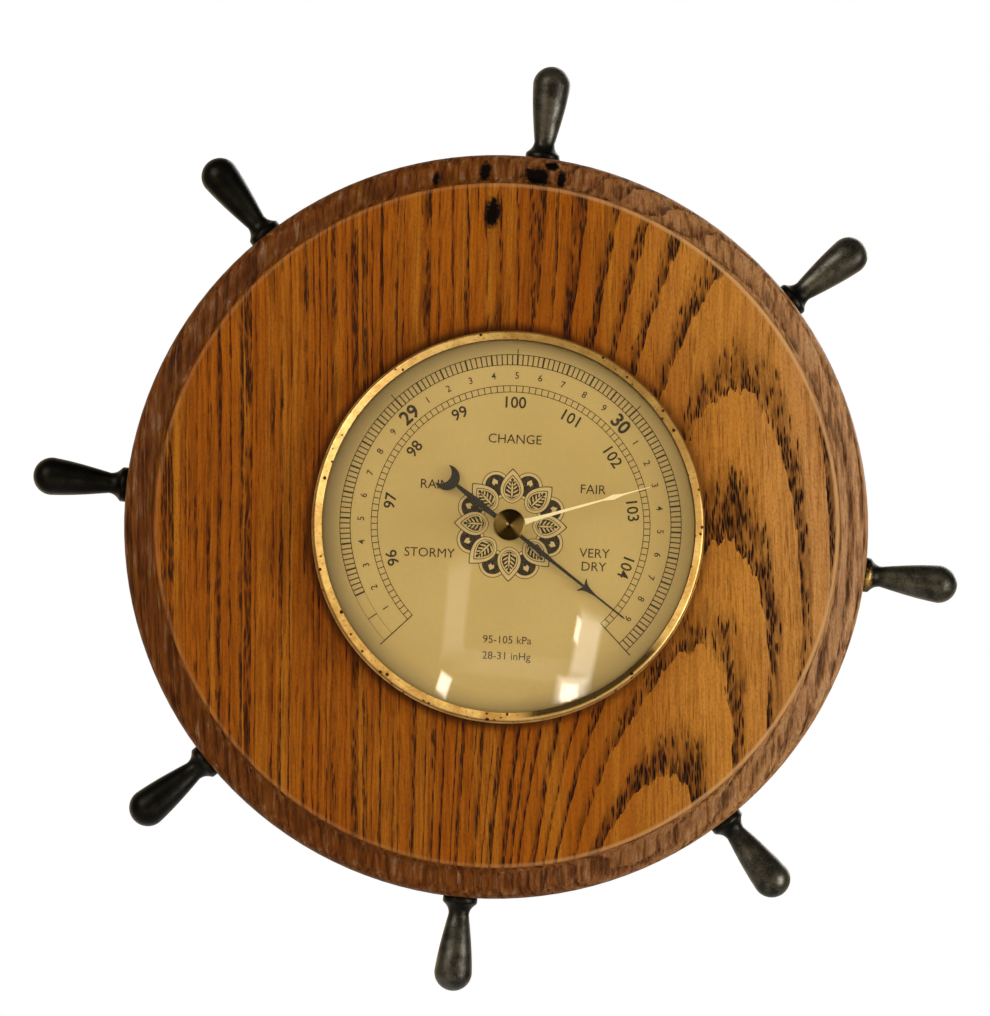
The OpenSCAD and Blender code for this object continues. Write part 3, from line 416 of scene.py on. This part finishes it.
# Painted shade: blacker on the left, away from the light, and black in the collars
darkening = add(tree, "SeparateXYZ", {0: place}).outputs[0]
darkening = ramp(tree, darkening, -75 * MM, -20 * MM, 0.9, 0.0)
collar = ramp(tree, reach(tree, place, 0, 0), 98.0, 101.0, 0.8, 0.0)
darkening = calc(tree, "MAXIMUM", darkening, collar)
hue = mixed(tree, darkening, hue, "#020202")
KNOCK_AT = (95.9 * MM, -16.5 * MM, -1.5 * MM)
knock = vector(tree, "SUBTRACT", place, KNOCK_AT)
knock = vector(tree, "MULTIPLY", knock, (700, 400, 300))
knock = vector(tree, "LENGTH", knock)
knock = calc(tree, "MULTIPLY_ADD", skin, 1.2, knock)
knock = ramp(tree, knock, 1.2, 1.6, 0.9, 0.0)
hue = mixed(tree, knock, hue, "#c9a25a")
give(tree, surface, {"Base Color": hue, "Metallic": 0.8,
                     "Roughness": ramp(tree, rub, 0, 1, 0.42, 0.3),
                     "Coat Weight": ramp(tree, darkening, 0, 1, 0.1, 0.02),
                     "Coat Roughness": 0.3, "Specular IOR Level": 0.2})
emboss(tree, surface, skin, 0.5, 0.08)

for i in range(HANDLES):
    bm = bmesh.new()
    lathe(bm, HANDLE_PROFILE, 48)
    lathe(bm, BORE, 24)
    bmesh.ops.remove_doubles(bm, verts=bm.verts, dist=1e-3)
    bmesh.ops.recalc_face_normals(bm, faces=bm.faces)
    clock = -2 * math.pi * i / HANDLES - math.radians(HANDLE_OFF[i])
    upright = (Matrix.Translation((0, HANDLE_SEAT_R, BOARD_MIDDLE))
               @ Matrix.Rotation(-math.pi / 2, 4, "X"))
    bm.transform(FACE_OUT @ Matrix.Rotation(clock, 4, "Z") @ upright)
    piece = finished(f"turned_handle_{i + 1}", bm, [bronze])
    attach(piece, "wheel")
    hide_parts(f"handle_{i + 1}")

# Plain steel: the studs, screws, arbors and wires that hold the wheel and the movement
# together. They are turned or drawn, and zinc plated.


def patchy(name, scale, detail, tints, metal, rough, span=(0, 1), specular=0.5):
    """A finish of two colours in soft patches, with one roughness or one for each."""
    finish, tree, surface = start(name)
    patches = noise(tree, spot(tree), scale, detail)
    hue = mixed(tree, ramp(tree, patches, *span), *tints)
    if isinstance(rough, tuple):
        rough = ramp(tree, patches, 0, 1, *rough)
    give(tree, surface, {"Base Color": hue, "Metallic": metal, "Roughness": rough,
                         "Specular IOR Level": specular})
    return finish


# Zinc on steel: a cold, light grey, patchy in its shine
steel = patchy("plated_steel", 900.0, 4.0, ("#8f8f8a", "#c2c1bb"), 1.0, (0.25, 0.45))
wear(steel, "handle_studs", "hanger_screws", "clip_screws", "base_spacers", "base_screws",
     "adjusting_screw", "bracket_screws", "rocking_shaft", "link_wire", "sector_arbor",
     "pinion_arbor", "pillar_screws", "bridge_screws", "knob_washer")

# Hanger: a keyhole plate of stamped brass, let into the back and screwed down. It is
# dull, with brown tarnish and the scratches of the wall screw.
hanger, tree, surface = start("stamped_brass")
place = spot(tree)
stain = noise(tree, place, 180.0, 5.0)
hue = ramp(tree, stain, 0.4, 0.7)
hue = mixed(tree, hue, "#c7a258", "#86642f")
scratch = add(tree, "Mapping", {"Vector": place, "Rotation": (0, 0.4, 0),
                                "Scale": (90, 90, 4000)}).outputs["Vector"]
scratch = noise(tree, scratch, 1.0, 3.0)
give(tree, surface, {"Base Color": hue, "Metallic": 1.0,
                     "Roughness": ramp(tree, scratch, 0, 1, 0.25, 0.6)})
emboss(tree, surface, scratch, 0.3, 0.03)
wear(hanger, "hanger_plate")

# Case: a cup drawn from zinc-coated steel, let into the wood from the front and held by
# three clips behind. The eye sees the flat crystals of the zinc and a few cloudy stains.
zinc, tree, surface = start("drawn_zinc_plate")
place = spot(tree)
spangle = add(tree, "TexVoronoi", {"Vector": place, "Scale": 260.0}).outputs["Color"]
spangle = add(tree, "SeparateColor", {0: spangle}).outputs[0]
stain = noise(tree, place, 70.0, 5.0)
blend = calc(tree, "MULTIPLY_ADD", spangle, 0.25, stain)
hue = ramp(tree, blend, 0.35, 0.9)
hue = mixed(tree, hue, "#9c9c96", "#c9c8c0")
give(tree, surface, {"Base Color": hue, "Metallic": 1.0,
                     "Roughness": ramp(tree, blend, 0, 1, 0.28, 0.5)})
wear(zinc, "case_cup", "case_clips")

# Bezel: spun from sheet brass, pressed over the case, once lacquered. The lacquer has
# failed in brown specks, and its lip has gone black at the lower right.
bezel, tree, surface = start("spun_brass")
STAIN_X, STAIN_Z = 30.8, -40.3
LIP_R = 49.0
place = spot(tree)
cloud = noise(tree, place, 150.0, 5.0, 0.7)
hue = ramp(tree, cloud, 0.35, 0.65)
hue = mixed(tree, hue, "#ffdc8c", "#cb9e58")
# Painted shade: browner and duller towards the right and a little towards the top, to tone
# down the key light's reflection there
brown = vector(tree, "DOT_PRODUCT", place, (22, 0, 6))
brown = ramp(tree, brown, -0.2, 1.1, 0.0, 0.5)
hue = mixed(tree, brown, hue, "#a9803e")
specks = add(tree, "TexVoronoi", {"Vector": place, "Scale": 600.0}, voronoi_dimensions="3D")
chance = add(tree, "SeparateColor", {0: specks.outputs["Color"]}).outputs[0]
size = ramp(tree, chance, 0.4, 1.0, 0.0, 0.4)
size = calc(tree, "MULTIPLY", cloud, size)
size = calc(tree, "MULTIPLY", size, 1.8)
speck = calc(tree, "SUBTRACT", size, specks.outputs["Distance"])
speck = ramp(tree, speck, 0.0, 0.1)
hue = mixed(tree, speck, hue, "#4c2c10")
fine = noise(tree, place, 1500.0, 2.0)
fine = ramp(tree, fine, 0.58, 0.7, 0.0, 0.45)
hue = mixed(tree, fine, hue, "#8a5c28")
dark = reach(tree, place, STAIN_X, STAIN_Z)
dark = calc(tree, "MULTIPLY_ADD", cloud, 14.0, dark)
dark = ramp(tree, dark, 23.0, 30.0, 0.92, 0.0)
lip = reach(tree, place, CASE_X, CASE_Z)
lip = calc(tree, "MULTIPLY_ADD", cloud, 0.8, lip)
lip = ramp(tree, lip, LIP_R, LIP_R + 0.5, 1.0, 0.15)
dark = calc(tree, "MULTIPLY", dark, lip)
hue = mixed(tree, dark, hue, "#1e1408")
worn = calc(tree, "MAXIMUM", speck, dark)
give(tree, surface, {"Base Color": hue, "Metallic": 1.0,
                     "Roughness": ramp(tree, worn, 0, 1, 0.38, 0.65)})
emboss(tree, surface, fine, 0.3, 0.03)
wear(bezel, "bezel")

# Glass: a domed pressed glass with a hole in its middle, held by a black rubber ring
# between it and the bezel. Its edge is hidden under the bezel.


def show(tree, shader):
    """The shader becomes what the material looks like."""
    tree.links.new(shader.outputs[0], tree.nodes["Material Output"].inputs["Surface"])


# Clear glass: it mirrors the window, and lets the lamps' light through to the dial
glass, tree, surface = start("pressed_glass")
give(tree, surface, {"Base Color": (1, 1, 1, 1), "Transmission Weight": 1.0, "IOR": 1.45,
                     "Roughness": 0.015})
rays = add(tree, "LightPath", {}).outputs
clear = add(tree, "BsdfTransparent", {"Color": (0.96, 0.97, 0.95, 1)})
passed = calc(tree, "MAXIMUM", rays["Is Shadow Ray"], rays["Is Diffuse Ray"])
show(tree, add(tree, "MixShader", {0: passed, 1: surface.outputs[0], 2: clear.outputs[0]}))
GLASS_SEAT, GLASS_T, GLASS_RISE = 32.9, 1.8, 4.5
GLASS_HOLE, UNDER_EDGE, OVER_EDGE = 2.1, 47.2, 47.45
low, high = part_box("glass")
GLASS_R = (high.x - low.x) / 2 / MM


def dome(level, edge, first, last, steps=24):
    """Points along a domed surface of the glass, between two radii."""
    bend = (edge ** 2 + GLASS_RISE ** 2) / (2 * GLASS_RISE)
    radii = [first + (last - first) * k / steps for k in range(steps + 1)]
    return [(r, level + GLASS_RISE - bend + math.sqrt(bend ** 2 - r ** 2)) for r in radii]


under = dome(GLASS_SEAT, UNDER_EDGE, GLASS_HOLE, UNDER_EDGE)
over = dome(GLASS_SEAT + GLASS_T, OVER_EDGE, OVER_EDGE, GLASS_HOLE)
rim = [(GLASS_R, GLASS_SEAT), (GLASS_R, GLASS_SEAT + GLASS_T)]
bm = bmesh.new()
lathe(bm, under + rim + over + under[:1], 128)
bmesh.ops.recalc_face_normals(bm, faces=bm.faces)
bm.transform(FACE_OUT @ Matrix.Translation((CASE_X, CASE_Z, 0)))
piece = finished("domed_glass", bm, [glass], sharp=6)
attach(piece, "wheel")
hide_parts("glass")

# Matt black rubber with a grey bloom
rubber = patchy("black_rubber", 500.0, 3.0, ("#151412", "#2b2926"), 0.0, 0.75)
wear(rubber, "glass_gasket")

# Dial: a brass sheet sprayed with satin gold paint and printed in dark brown ink. A ring
# of the same paint keeps the glass off it, in the shade of the bezel.

# Gold paint: fine metal flakes in a yellow lacquer, with painted shade of the bezel
# darkening it towards the ring, most on the left
gold, tree, surface = start("satin_gold_paint")
SHADE_X, SHADE_Z = 5.4, -0.6
place = spot(tree)
mist = noise(tree, place, 28.0, 3.0)
grit = noise(tree, place, 2600.0, 2.0)
hue = ramp(tree, mist, 0.3, 0.7)
hue = mixed(tree, hue, "#c5a761", "#ba9c55")
spots = ramp(tree, grit, 0.35, 0.65, 0.0, 0.12)
hue = mixed(tree, spots, hue, "#8e7136")
# Painted shade of the bezel: its middle lies right of the case's, so the left edge is darker
painted_bezel_shade = reach(tree, place, SHADE_X, SHADE_Z)
painted_bezel_shade = ramp(tree, painted_bezel_shade, 41.5, 49.5, 0.0, 0.8)
painted_bezel_shade = calc(tree, "POWER", painted_bezel_shade, 1.6)
hue = mixed(tree, painted_bezel_shade, hue, "#4e3d1a")
give(tree, surface, {"Base Color": hue, "Metallic": 0.35, "Roughness": 0.42})
emboss(tree, surface, grit, 0.15, 0.02)
wear(gold, "dial_plate")

# The same paint, darkened to a dull brown gold as painted shade, in dusty patches
ring_paint = patchy("dark_gold_paint", 300.0, 3.0, ("#3d3018", "#6d5628"), 0.35, 0.5)
wear(ring_paint, "spacer_ring")

# Scales: printed on the dial, inches of mercury outside and kilopascals inside. The print
# is a film of ink, and its middle lies a little off the hands' axis.
DIAL_TURN = math.radians(4.3)
# The dial's face is 29.5 mm in front of the wall
FACE_Z = 29.5
INK_T = 0.02
PRINT_X, PRINT_Z = CASE_X + 0.54, CASE_Z + 0.48
ON_DIAL = (FACE_OUT @ Matrix.Translation((PRINT_X, PRINT_Z, FACE_Z))
           @ Matrix.Rotation(DIAL_TURN, 4, "Z"))
# Half the angle of the scales, and the angle between the points of a round line
SPAN = 135.0
ARC_STEP = 1.5
# Height of a capital in the typeface, as a share of its size
CAPITAL = 0.69


def clockwise(angle):
    """Turns a drawing from the top of the dial to that angle in degrees, clockwise."""
    return Matrix.Rotation(-math.radians(angle), 4, "Z")


def stroke(ink, angle, inner, outer, width):
    """A straight line along a radius of the dial."""
    at = clockwise(angle) @ Matrix.Translation((0, (inner + outer) / 2, 0))
    size = Matrix.Diagonal((width / 2, (outer - inner) / 2, 1, 1))
    bmesh.ops.create_grid(ink, x_segments=1, y_segments=1, size=1.0, matrix=at @ size)


def sweep(ink, radius, width, first, last):
    """A line round the dial, from one angle to another."""
    ends = [ink.verts.new(clockwise(first) @ Vector((0, radius + s * width / 2, 0)))
            for s in (-1, 1)]
    line = ink.edges.new(ends)
    bmesh.ops.spin(ink, geom=ends + [line], axis=(0, 0, 1), cent=(0, 0, 0),
                   steps=max(2, round((last - first) / ARC_STEP)),
                   angle=-math.radians(last - first), use_merge=False)


def letter(ink, words, height, at, bold=0.0):
    """Type with capitals of that height, centred on its place and facing the front."""
    type_curve = bpy.data.curves.new("type", "FONT")
    type_curve.body = words
    type_curve.size = height / CAPITAL
    type_curve.offset = bold
    type_curve.resolution_u = 3
    type_curve.extrude = INK_T / 2
    block = bpy.data.objects.new("type", type_curve)
    mesh = bpy.data.meshes.new_from_object(block)
    xs = [v.co.x for v in mesh.vertices]
    middle = ((min(xs) + max(xs)) / 2, height / 2, -INK_T / 2)
    mesh.transform(at @ Matrix.Translation([-c for c in middle]))
    ink.from_mesh(mesh)
    bpy.data.meshes.remove(mesh)
    bpy.data.objects.remove(block)
    bpy.data.curves.remove(type_curve)


def print_film(name, flat, finishes, extra=None):
    """Gives the flat print its thickness, adds any solid type, and lays it on the dial."""
    for face in flat.faces:
        face.normal_update()
        if face.normal.z < 0:
            face.normal_flip()
    bmesh.ops.translate(flat, vec=(0, 0, INK_T), verts=flat.verts)
    bmesh.ops.solidify(flat, geom=flat.faces[:], thickness=INK_T)
    if extra:
        block = bpy.data.meshes.new("type")
        extra.to_mesh(block)
        extra.free()
        flat.from_mesh(block)
        bpy.data.meshes.remove(block)
    bmesh.ops.remove_doubles(flat, verts=flat.verts, dist=1e-5)
    flat.transform(ON_DIAL)
    piece = finished(name, flat, finishes)
    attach(piece, "wheel")


# Dark brown printing ink: even and matt, a little thin in places
brown_ink = patchy("brown_ink", 1200.0, 3.0, ("#1a0e03", "#463310"), 0.0, 0.6, (0.5, 0.8),
                   specular=0.05)

# Lines: the first two tenths of the inches are left coarse, as on the real dial
INCHES, KPAS = 3, 10
INCH_STEP, KPA_STEP = 2 * SPAN / INCHES, 2 * SPAN / KPAS
INCH_IN, INCH_OUT, INCH_LONG = 40.7, 43.3, 44.8
KPA_IN, KPA_OUT = 33.8, 35.4
COARSE_MARK, FINE_FROM = -126.0, -117.0
COARSE_W, INCH_W, KPA_W, END_W = 0.09, 0.2, 0.18, 0.28
TENTH_W, FIFTIETH_W, LONG_W, KPA_MARK_W = 0.46, 0.31, 0.25, 0.22
flat = bmesh.new()
for radius in (INCH_IN, INCH_OUT):
    sweep(flat, radius, COARSE_W, -SPAN, FINE_FROM)
    sweep(flat, radius, INCH_W, FINE_FROM, SPAN)
for radius in (KPA_IN, KPA_OUT):
    sweep(flat, radius, KPA_W, -SPAN, SPAN)
for i in range(1, 50 * INCHES):
    angle = -SPAN + INCH_STEP / 50 * i
    if angle >= FINE_FROM - 0.1:
        stroke(flat, angle, INCH_IN, INCH_OUT, TENTH_W if i % 5 == 0 else FIFTIETH_W)
stroke(flat, COARSE_MARK, INCH_IN, INCH_OUT, LONG_W)
for angle in (-INCH_STEP / 2, 0, INCH_STEP / 2):
    stroke(flat, angle, INCH_IN, INCH_LONG, LONG_W)
for i in range(1, 10 * KPAS):
    stroke(flat, -SPAN + KPA_STEP / 10 * i, KPA_IN, KPA_OUT, KPA_MARK_W)
for angle in (-SPAN, SPAN):
    stroke(flat, angle, KPA_IN, INCH_LONG, END_W)

# Figures and words, each with the height of its capitals
INCH_FIGURES_R, KPA_FIGURES_R = 38.05, 31.2
TENTH_H, INCH_H, KPA_H, WORD_H, UNIT_H = 1.65, 3.4, 2.8, 2.3, 1.9
TENTH_BOLD, INCH_BOLD, KPA_BOLD = 0.02, 0.13, 0.05
WORDS = [("CHANGE", 0.2, 21.9, WORD_H), ("RAIN", -19.6, 9.6, WORD_H),
         ("FAIR", 20.6, 10.0, WORD_H), ("STORMY", -20.2, -7.8, WORD_H),
         ("VERY", 21.6, -6.2, WORD_H), ("DRY", 21.6, -9.6, WORD_H),
         ("95-105 kPa", 0.4, -29.1, UNIT_H), ("28-31 inHg", 0.4, -33.2, UNIT_H)]
figures = bmesh.new()
inch_figures = Matrix.Translation((0, INCH_FIGURES_R, 0))
kpa_figures = Matrix.Translation((0, KPA_FIGURES_R, 0))
for inch in range(INCHES):
    for tenth in range(1, 10):
        angle = -SPAN + INCH_STEP * (inch + tenth / 10)
        letter(figures, str(tenth), TENTH_H, clockwise(angle) @ inch_figures, TENTH_BOLD)
for angle, words in ((-INCH_STEP / 2, "29"), (INCH_STEP / 2, "30")):
    letter(figures, words, INCH_H, clockwise(angle) @ inch_figures, INCH_BOLD)
for kpa in range(96, 105):
    angle = KPA_STEP * (kpa - 100)
    letter(figures, str(kpa), KPA_H, clockwise(angle) @ kpa_figures, KPA_BOLD)
for words, x, y, height in WORDS:
    letter(figures, words, height, Matrix.Translation((x, y, 0)))
print_film("dial_scales", flat, [brown_ink], figures)

# Rosette: a printed eight-petalled flower round the hands' boss, dark foliage between
# pale gold bands. Round arches show behind the gaps of the petals.

# Pale gold ink: a soft, lighter gold than the dial, thin in clouds
pale_ink = patchy("pale_gold_ink", 700.0, 3.0, ("#d2b878", "#b99a58"), 0.35, 0.45)
DARK, PALE = 0, 1
LAYER = 0.01
PETALS = 8
PETAL_IN, PETAL_OUT, PETAL_W = 5.5, 14.4, 6.2
# Inks with how far each band of a petal stays inside its edge, then with its arch's radius
PETAL_BANDS = ((DARK, 0.0), (PALE, 0.17), (DARK, 0.8), (PALE, 0.95))
ARCH_AT = 10.75
ARCH_BANDS = ((DARK, 3.6), (PALE, 3.42), (DARK, 2.75))
LEAF_MARGIN, LEAF_W = 1.2, 3.7
STEM_IN, STEM_OUT, STEM_W = 1.4, 3.2, 0.5
BUD = [(0, 1.9), (0.8, 0.9), (0.45, 0.1), (0, 0.5), (-0.45, 0.1), (-0.8, 0.9)]
TWIGS, TWIG_FROM, TWIG_STEP, TWIG_OFF = 5, 1.7, 0.95, 0.3
TWIG_LONG, TWIG_SHORTER, TWIG_W = 1.9, 0.22, 0.42
TWIG_TURN, TWIG_STEEPER = 62, 7


def patch_of(art, outline, at, ink, layer):
    """One flat printed patch with that outline, on its layer of the print."""
    made = bmesh.ops.create_circle(art, cap_ends=True, segments=len(outline), radius=1.0)
    lift = at @ Matrix.Translation((0, 0, LAYER * layer))
    for vert, (x, y) in zip(made["verts"], outline):
        vert.co = lift @ Vector((x, y, 0))
    made["verts"][0].link_faces[0].material_index = ink


def disc(radius, count=36):
    """Points round a circle."""
    steps = (2 * math.pi * k / count for k in range(count))
    return [(radius * math.sin(a), radius * math.cos(a)) for a in steps]


def petal(low, high, width, count=40, foot=0.62, point=0.95, fill=1.43):
    """Points round a petal with a round foot and a pointed tip, at those heights."""
    points = []
    for k in range(count):
        t = (1 - math.cos(2 * math.pi * k / count)) / 2
        half = fill * width * t ** foot * (1 - t) ** point
        points.append((half if k < count / 2 else -half, low + t * (high - low)))
    return points


rosette = bmesh.new()
for i in range(PETALS):
    turned = clockwise(360 / PETALS * (i + 0.5)) @ Matrix.Translation((0, ARCH_AT, 0))
    for layer, (ink, radius) in enumerate(ARCH_BANDS):
        patch_of(rosette, disc(radius), turned, ink, layer)
    patch_of(rosette, BUD, turned, PALE, 3)
for i in range(PETALS):
    turned = clockwise(360 / PETALS * i)
    for layer, (ink, margin) in enumerate(PETAL_BANDS):
        patch_of(rosette, petal(PETAL_IN + margin, PETAL_OUT - 2.0 * margin,
                                PETAL_W - 2.0 * margin), turned, ink, 4 + layer)
    leaf = petal(PETAL_IN + LEAF_MARGIN, PETAL_OUT - 2.0 * LEAF_MARGIN, LEAF_W)
    patch_of(rosette, leaf, turned, DARK, 8)
    stem = petal(PETAL_IN + STEM_IN, PETAL_OUT - STEM_OUT, STEM_W, 16)
    patch_of(rosette, stem, turned, PALE, 9)
    for step in range(TWIGS):
        up = PETAL_IN + TWIG_FROM + TWIG_STEP * step
        twig = petal(0.0, TWIG_LONG - TWIG_SHORTER * step, TWIG_W, 12)
        for hand in (-1, 1):
            at = (turned @ Matrix.Translation((hand * TWIG_OFF, up, 0))
                  @ clockwise(hand * (TWIG_TURN - TWIG_STEEPER * step)))
            patch_of(rosette, twig, at, PALE, 9)
print_film("dial_rosette", rosette, [brown_ink, pale_ink])

# Hands: the pointer is stamped and painted black, the set hand is stamped brass. The
# knob is turned and knurled brass, and turns the set hand through the glass.

# Black enamel: almost even, with a little dust on it
black = patchy("black_enamel", 700.0, 3.0, ("#070402", "#161009"), 0.0, 0.4, (0.5, 0.8),
               specular=0.15)
wear(black, "pointer")

# Bright lacquered brass: a pale yellow that stands out from the dial
bright = patchy("bright_brass", 600.0, 3.0, ("#f6dc97", "#fff0bf"), 0.3, 0.35)
wear(bright, "set_hand", "set_boss", "set_shaft", "knob_bush")

# Turned brass gone brown, with a painted reflection: two dark wedges above and below the
# middle stand in for the light that fine lathe rings would draw into an hourglass
knob, tree, surface = start("turned_brown_brass")
CASE_AT = (CASE_X * MM, 0, CASE_Z * MM)
place = spot(tree)
stain = noise(tree, place, 500.0, 4.0)
hue = mixed(tree, stain, "#584520", "#725c30")
# Painted reflection: darker above and below the knob's middle, lighter at its sides
spoke = vector(tree, "SUBTRACT", place, CASE_AT)
spoke = vector(tree, "MULTIPLY", spoke, (1, 0, 1))
spoke = vector(tree, "NORMALIZE", spoke)
spoke = add(tree, "SeparateXYZ", {0: spoke}).outputs[2]
spoke = calc(tree, "ABSOLUTE", spoke)
painted_reflection_wedges = ramp(tree, spoke, 0.55, 0.8, 0.0, 0.85)
hue = mixed(tree, painted_reflection_wedges, hue, "#120a03")
give(tree, surface, {"Base Color": hue, "Metallic": 1.0, "Roughness": 0.4})
wear(knob, "set_knob")

# Movement: stamped and turned brass behind the dial, with a blued hairspring and a
# corrugated capsule of nickel silver.

# Stamped brass: warm yellow with browner, duller stains
brass = patchy("stamped_movement_brass", 240.0, 5.0, ("#d7b366", "#b28b45"), 1.0,
               (0.22, 0.45), (0.35, 0.7))
wear(brass, "base_plate", "leaf_rivets", "adjusting_bush", "capsule_stud", "capsule_nut",
     "capsule_post", "shaft_brackets", "lift_finger", "rocking_arm", "sector_gear",
     "spring_collet", "hairspring_stud", "bridge_pillars", "bridge_plate", "pointer_boss")

# Blued steel: slate blue, greyer where the heat was uneven
blued = patchy("blued_steel", 150.0, 3.0, ("#39465c", "#77808c"), 1.0, 0.3)
wear(blued, "adjusting_leaf", "hairspring")

# Nickel silver: a pale, warm grey with brownish clouds of flux
nickel = patchy("nickel_silver", 120.0, 5.0, ("#cdbf9a", "#a8966c"), 1.0, 0.34)
wear(nickel, "capsule_lower", "capsule_upper")

# Studio: a pale floor below the hanging wheel, a white surround, soft boxes at the right,
# the left and the back, and a window low in front. Its sizes are in metres.

# Pale floor: it fades to the white of the surround, and mirrors show only its middle
FLOOR_Z = -0.2
FLOOR_R = 0.7
floor_finish, tree, surface = start("pale_floor")
give(tree, surface, {"Base Color": linear("#e9e7e3"), "Roughness": 0.8})
out = vector(tree, "LENGTH", spot(tree))
edge = ramp(tree, out, 0.3, FLOOR_R, soft=True)
rays = add(tree, "LightPath", {}).outputs
seen = calc(tree, "MAXIMUM", rays["Is Camera Ray"], rays["Is Transmission Ray"])
edge = calc(tree, "MULTIPLY", edge, seen)
far = ramp(tree, out, 0.15, 0.45, soft=True)
far = calc(tree, "MULTIPLY", far, rays["Is Glossy Ray"])
white = add(tree, "Emission", {"Color": (1, 1, 1, 1), "Strength": 1.0})
both = add(tree, "MixShader", {0: edge, 1: surface.outputs[0], 2: white.outputs[0]})
clear = add(tree, "BsdfTransparent", {})
show(tree, add(tree, "MixShader", {0: far, 1: both.outputs[0], 2: clear.outputs[0]}))
bm = bmesh.new()
bmesh.ops.create_circle(bm, cap_ends=True, segments=96, radius=FLOOR_R)
bmesh.ops.translate(bm, vec=(0, 0, FLOOR_Z), verts=bm.verts)
floor = finished("floor", bm, [floor_finish])

# Surround: white to the camera. Shiny things mirror a warm, cloudy room in it, bright in
# front and behind, dark right ahead, and brighter low on the left
world = bpy.data.worlds.new("surround")
studio.world = world
world.use_nodes = True
tree = world.node_tree
rays = add(tree, "LightPath", {}).outputs
heading = spot(tree)
front = add(tree, "SeparateXYZ", {0: heading}).outputs[1]
front = calc(tree, "ABSOLUTE", front)
facing = ramp(tree, front, 0.35, 0.85, 0.22, 1.1, soft=True)
ahead = ramp(tree, front, 0.88, 0.97, 1.0, 0.12)
facing = calc(tree, "MULTIPLY", facing, ahead)
room = noise(tree, heading, 4.5, 1.0)
room = ramp(tree, room, 0.38, 0.55, 0.55, 1.0)
lean = vector(tree, "DOT_PRODUCT", heading, (-0.35, 0, -0.6))
lean = calc(tree, "ADD", lean, 1.0)
mirrored = calc(tree, "MULTIPLY", facing, room)
mirrored = calc(tree, "MULTIPLY", mirrored, lean)
glossy = rays["Is Glossy Ray"]
level = add(tree, "Mix", {0: glossy, 2: 0.5, 3: mirrored}, data_type="FLOAT").outputs[0]
seen = calc(tree, "MAXIMUM", rays["Is Camera Ray"], rays["Is Transmission Ray"])
level = add(tree, "Mix", {0: seen, 2: level, 3: 1.0}, data_type="FLOAT").outputs[0]
warm = mixed(tree, glossy, (1, 1, 1, 1), "#ffe6bc")
give(tree, tree.nodes["Background"], {"Color": warm, "Strength": level})
LIT_AT = Vector((0, -0.02, 0))


def soft_box(name, at, size, watts):
    """A soft box that faces the dial, unseen by the camera itself."""
    lamp = bpy.data.lights.new(name, "AREA")
    lamp.shape = "RECTANGLE"
    lamp.size, lamp.size_y = size
    lamp.energy = watts
    box = bpy.data.objects.new(name, lamp)
    studio.collection.objects.link(box)
    box.location = at
    box.rotation_euler = (LIT_AT - Vector(at)).to_track_quat("-Z", "Y").to_euler()
    box.visible_camera = False


soft_box("key", (1.15, -0.75, -0.15), (0.7, 0.9), 14)
soft_box("fill", (-0.9, -0.9, 0.5), (0.8, 0.8), 6)
soft_box("rear", (0.6, 1.2, 0.6), (0.9, 0.9), 8)

# Window: seen only as the bright shapes that the domed glass mirrors low on the dial. Each
# has its place, half its size, its turn in degrees and its strength.
WINDOW_X, WINDOW_Y, WINDOW_Z, WINDOW_HALF = 0.08, -1.0, -0.2, 0.4
PANES = [(-0.077, -0.165, 0.030, 0.130, 6, 1.4), (0.07, -0.285, 0.16, 0.035, 0, 0.6),
         (0.238, -0.225, 0.034, 0.095, -8, 4.2), (0.2105, -0.182, 0.0075, 0.035, -12, 10.0),
         (0.218, -0.330, 0.044, 0.038, 0, 6.0), (0.214, -0.336, 0.024, 0.025, 0, 14.0),
         (-0.087, -0.350, 0.017, 0.030, -20, 14.0)]
panes, tree, surface = start("window_panes")
place = spot(tree)
total = None
for x, z, half_w, half_h, turned, strength in PANES:
    pane = vector(tree, "SUBTRACT", place, (x, 0, z))
    pane = add(tree, "Mapping", {"Vector": pane, "Rotation": (0, math.radians(turned), 0),
                                 "Scale": (1 / half_w, 0, 1 / half_h)}).outputs["Vector"]
    pane = vector(tree, "ABSOLUTE", pane)
    pane = add(tree, "SeparateXYZ", {0: pane}).outputs
    pane = calc(tree, "MAXIMUM", pane[0], pane[2])
    pane = ramp(tree, pane, 0.55, 1.05, strength, 0.0, soft=True)
    if total:
        pane = calc(tree, "ADD", total, pane)
    total = pane
glow = add(tree, "Emission", {"Color": linear("#fff6e4"), "Strength": total})
clear = add(tree, "BsdfTransparent", {})
show(tree, add(tree, "AddShader", {0: glow.outputs[0], 1: clear.outputs[0]}))
bm = bmesh.new()
bmesh.ops.create_grid(bm, x_segments=1, y_segments=1, size=WINDOW_HALF)
bm.transform(Matrix.Translation((WINDOW_X, WINDOW_Y, WINDOW_Z))
             @ Matrix.Rotation(math.pi / 2, 4, "X"))
window = finished("window", bm, [panes])
window.visible_camera = False
window.visible_shadow = False
window.visible_diffuse = False
studio.view_settings.view_transform = "Standard"
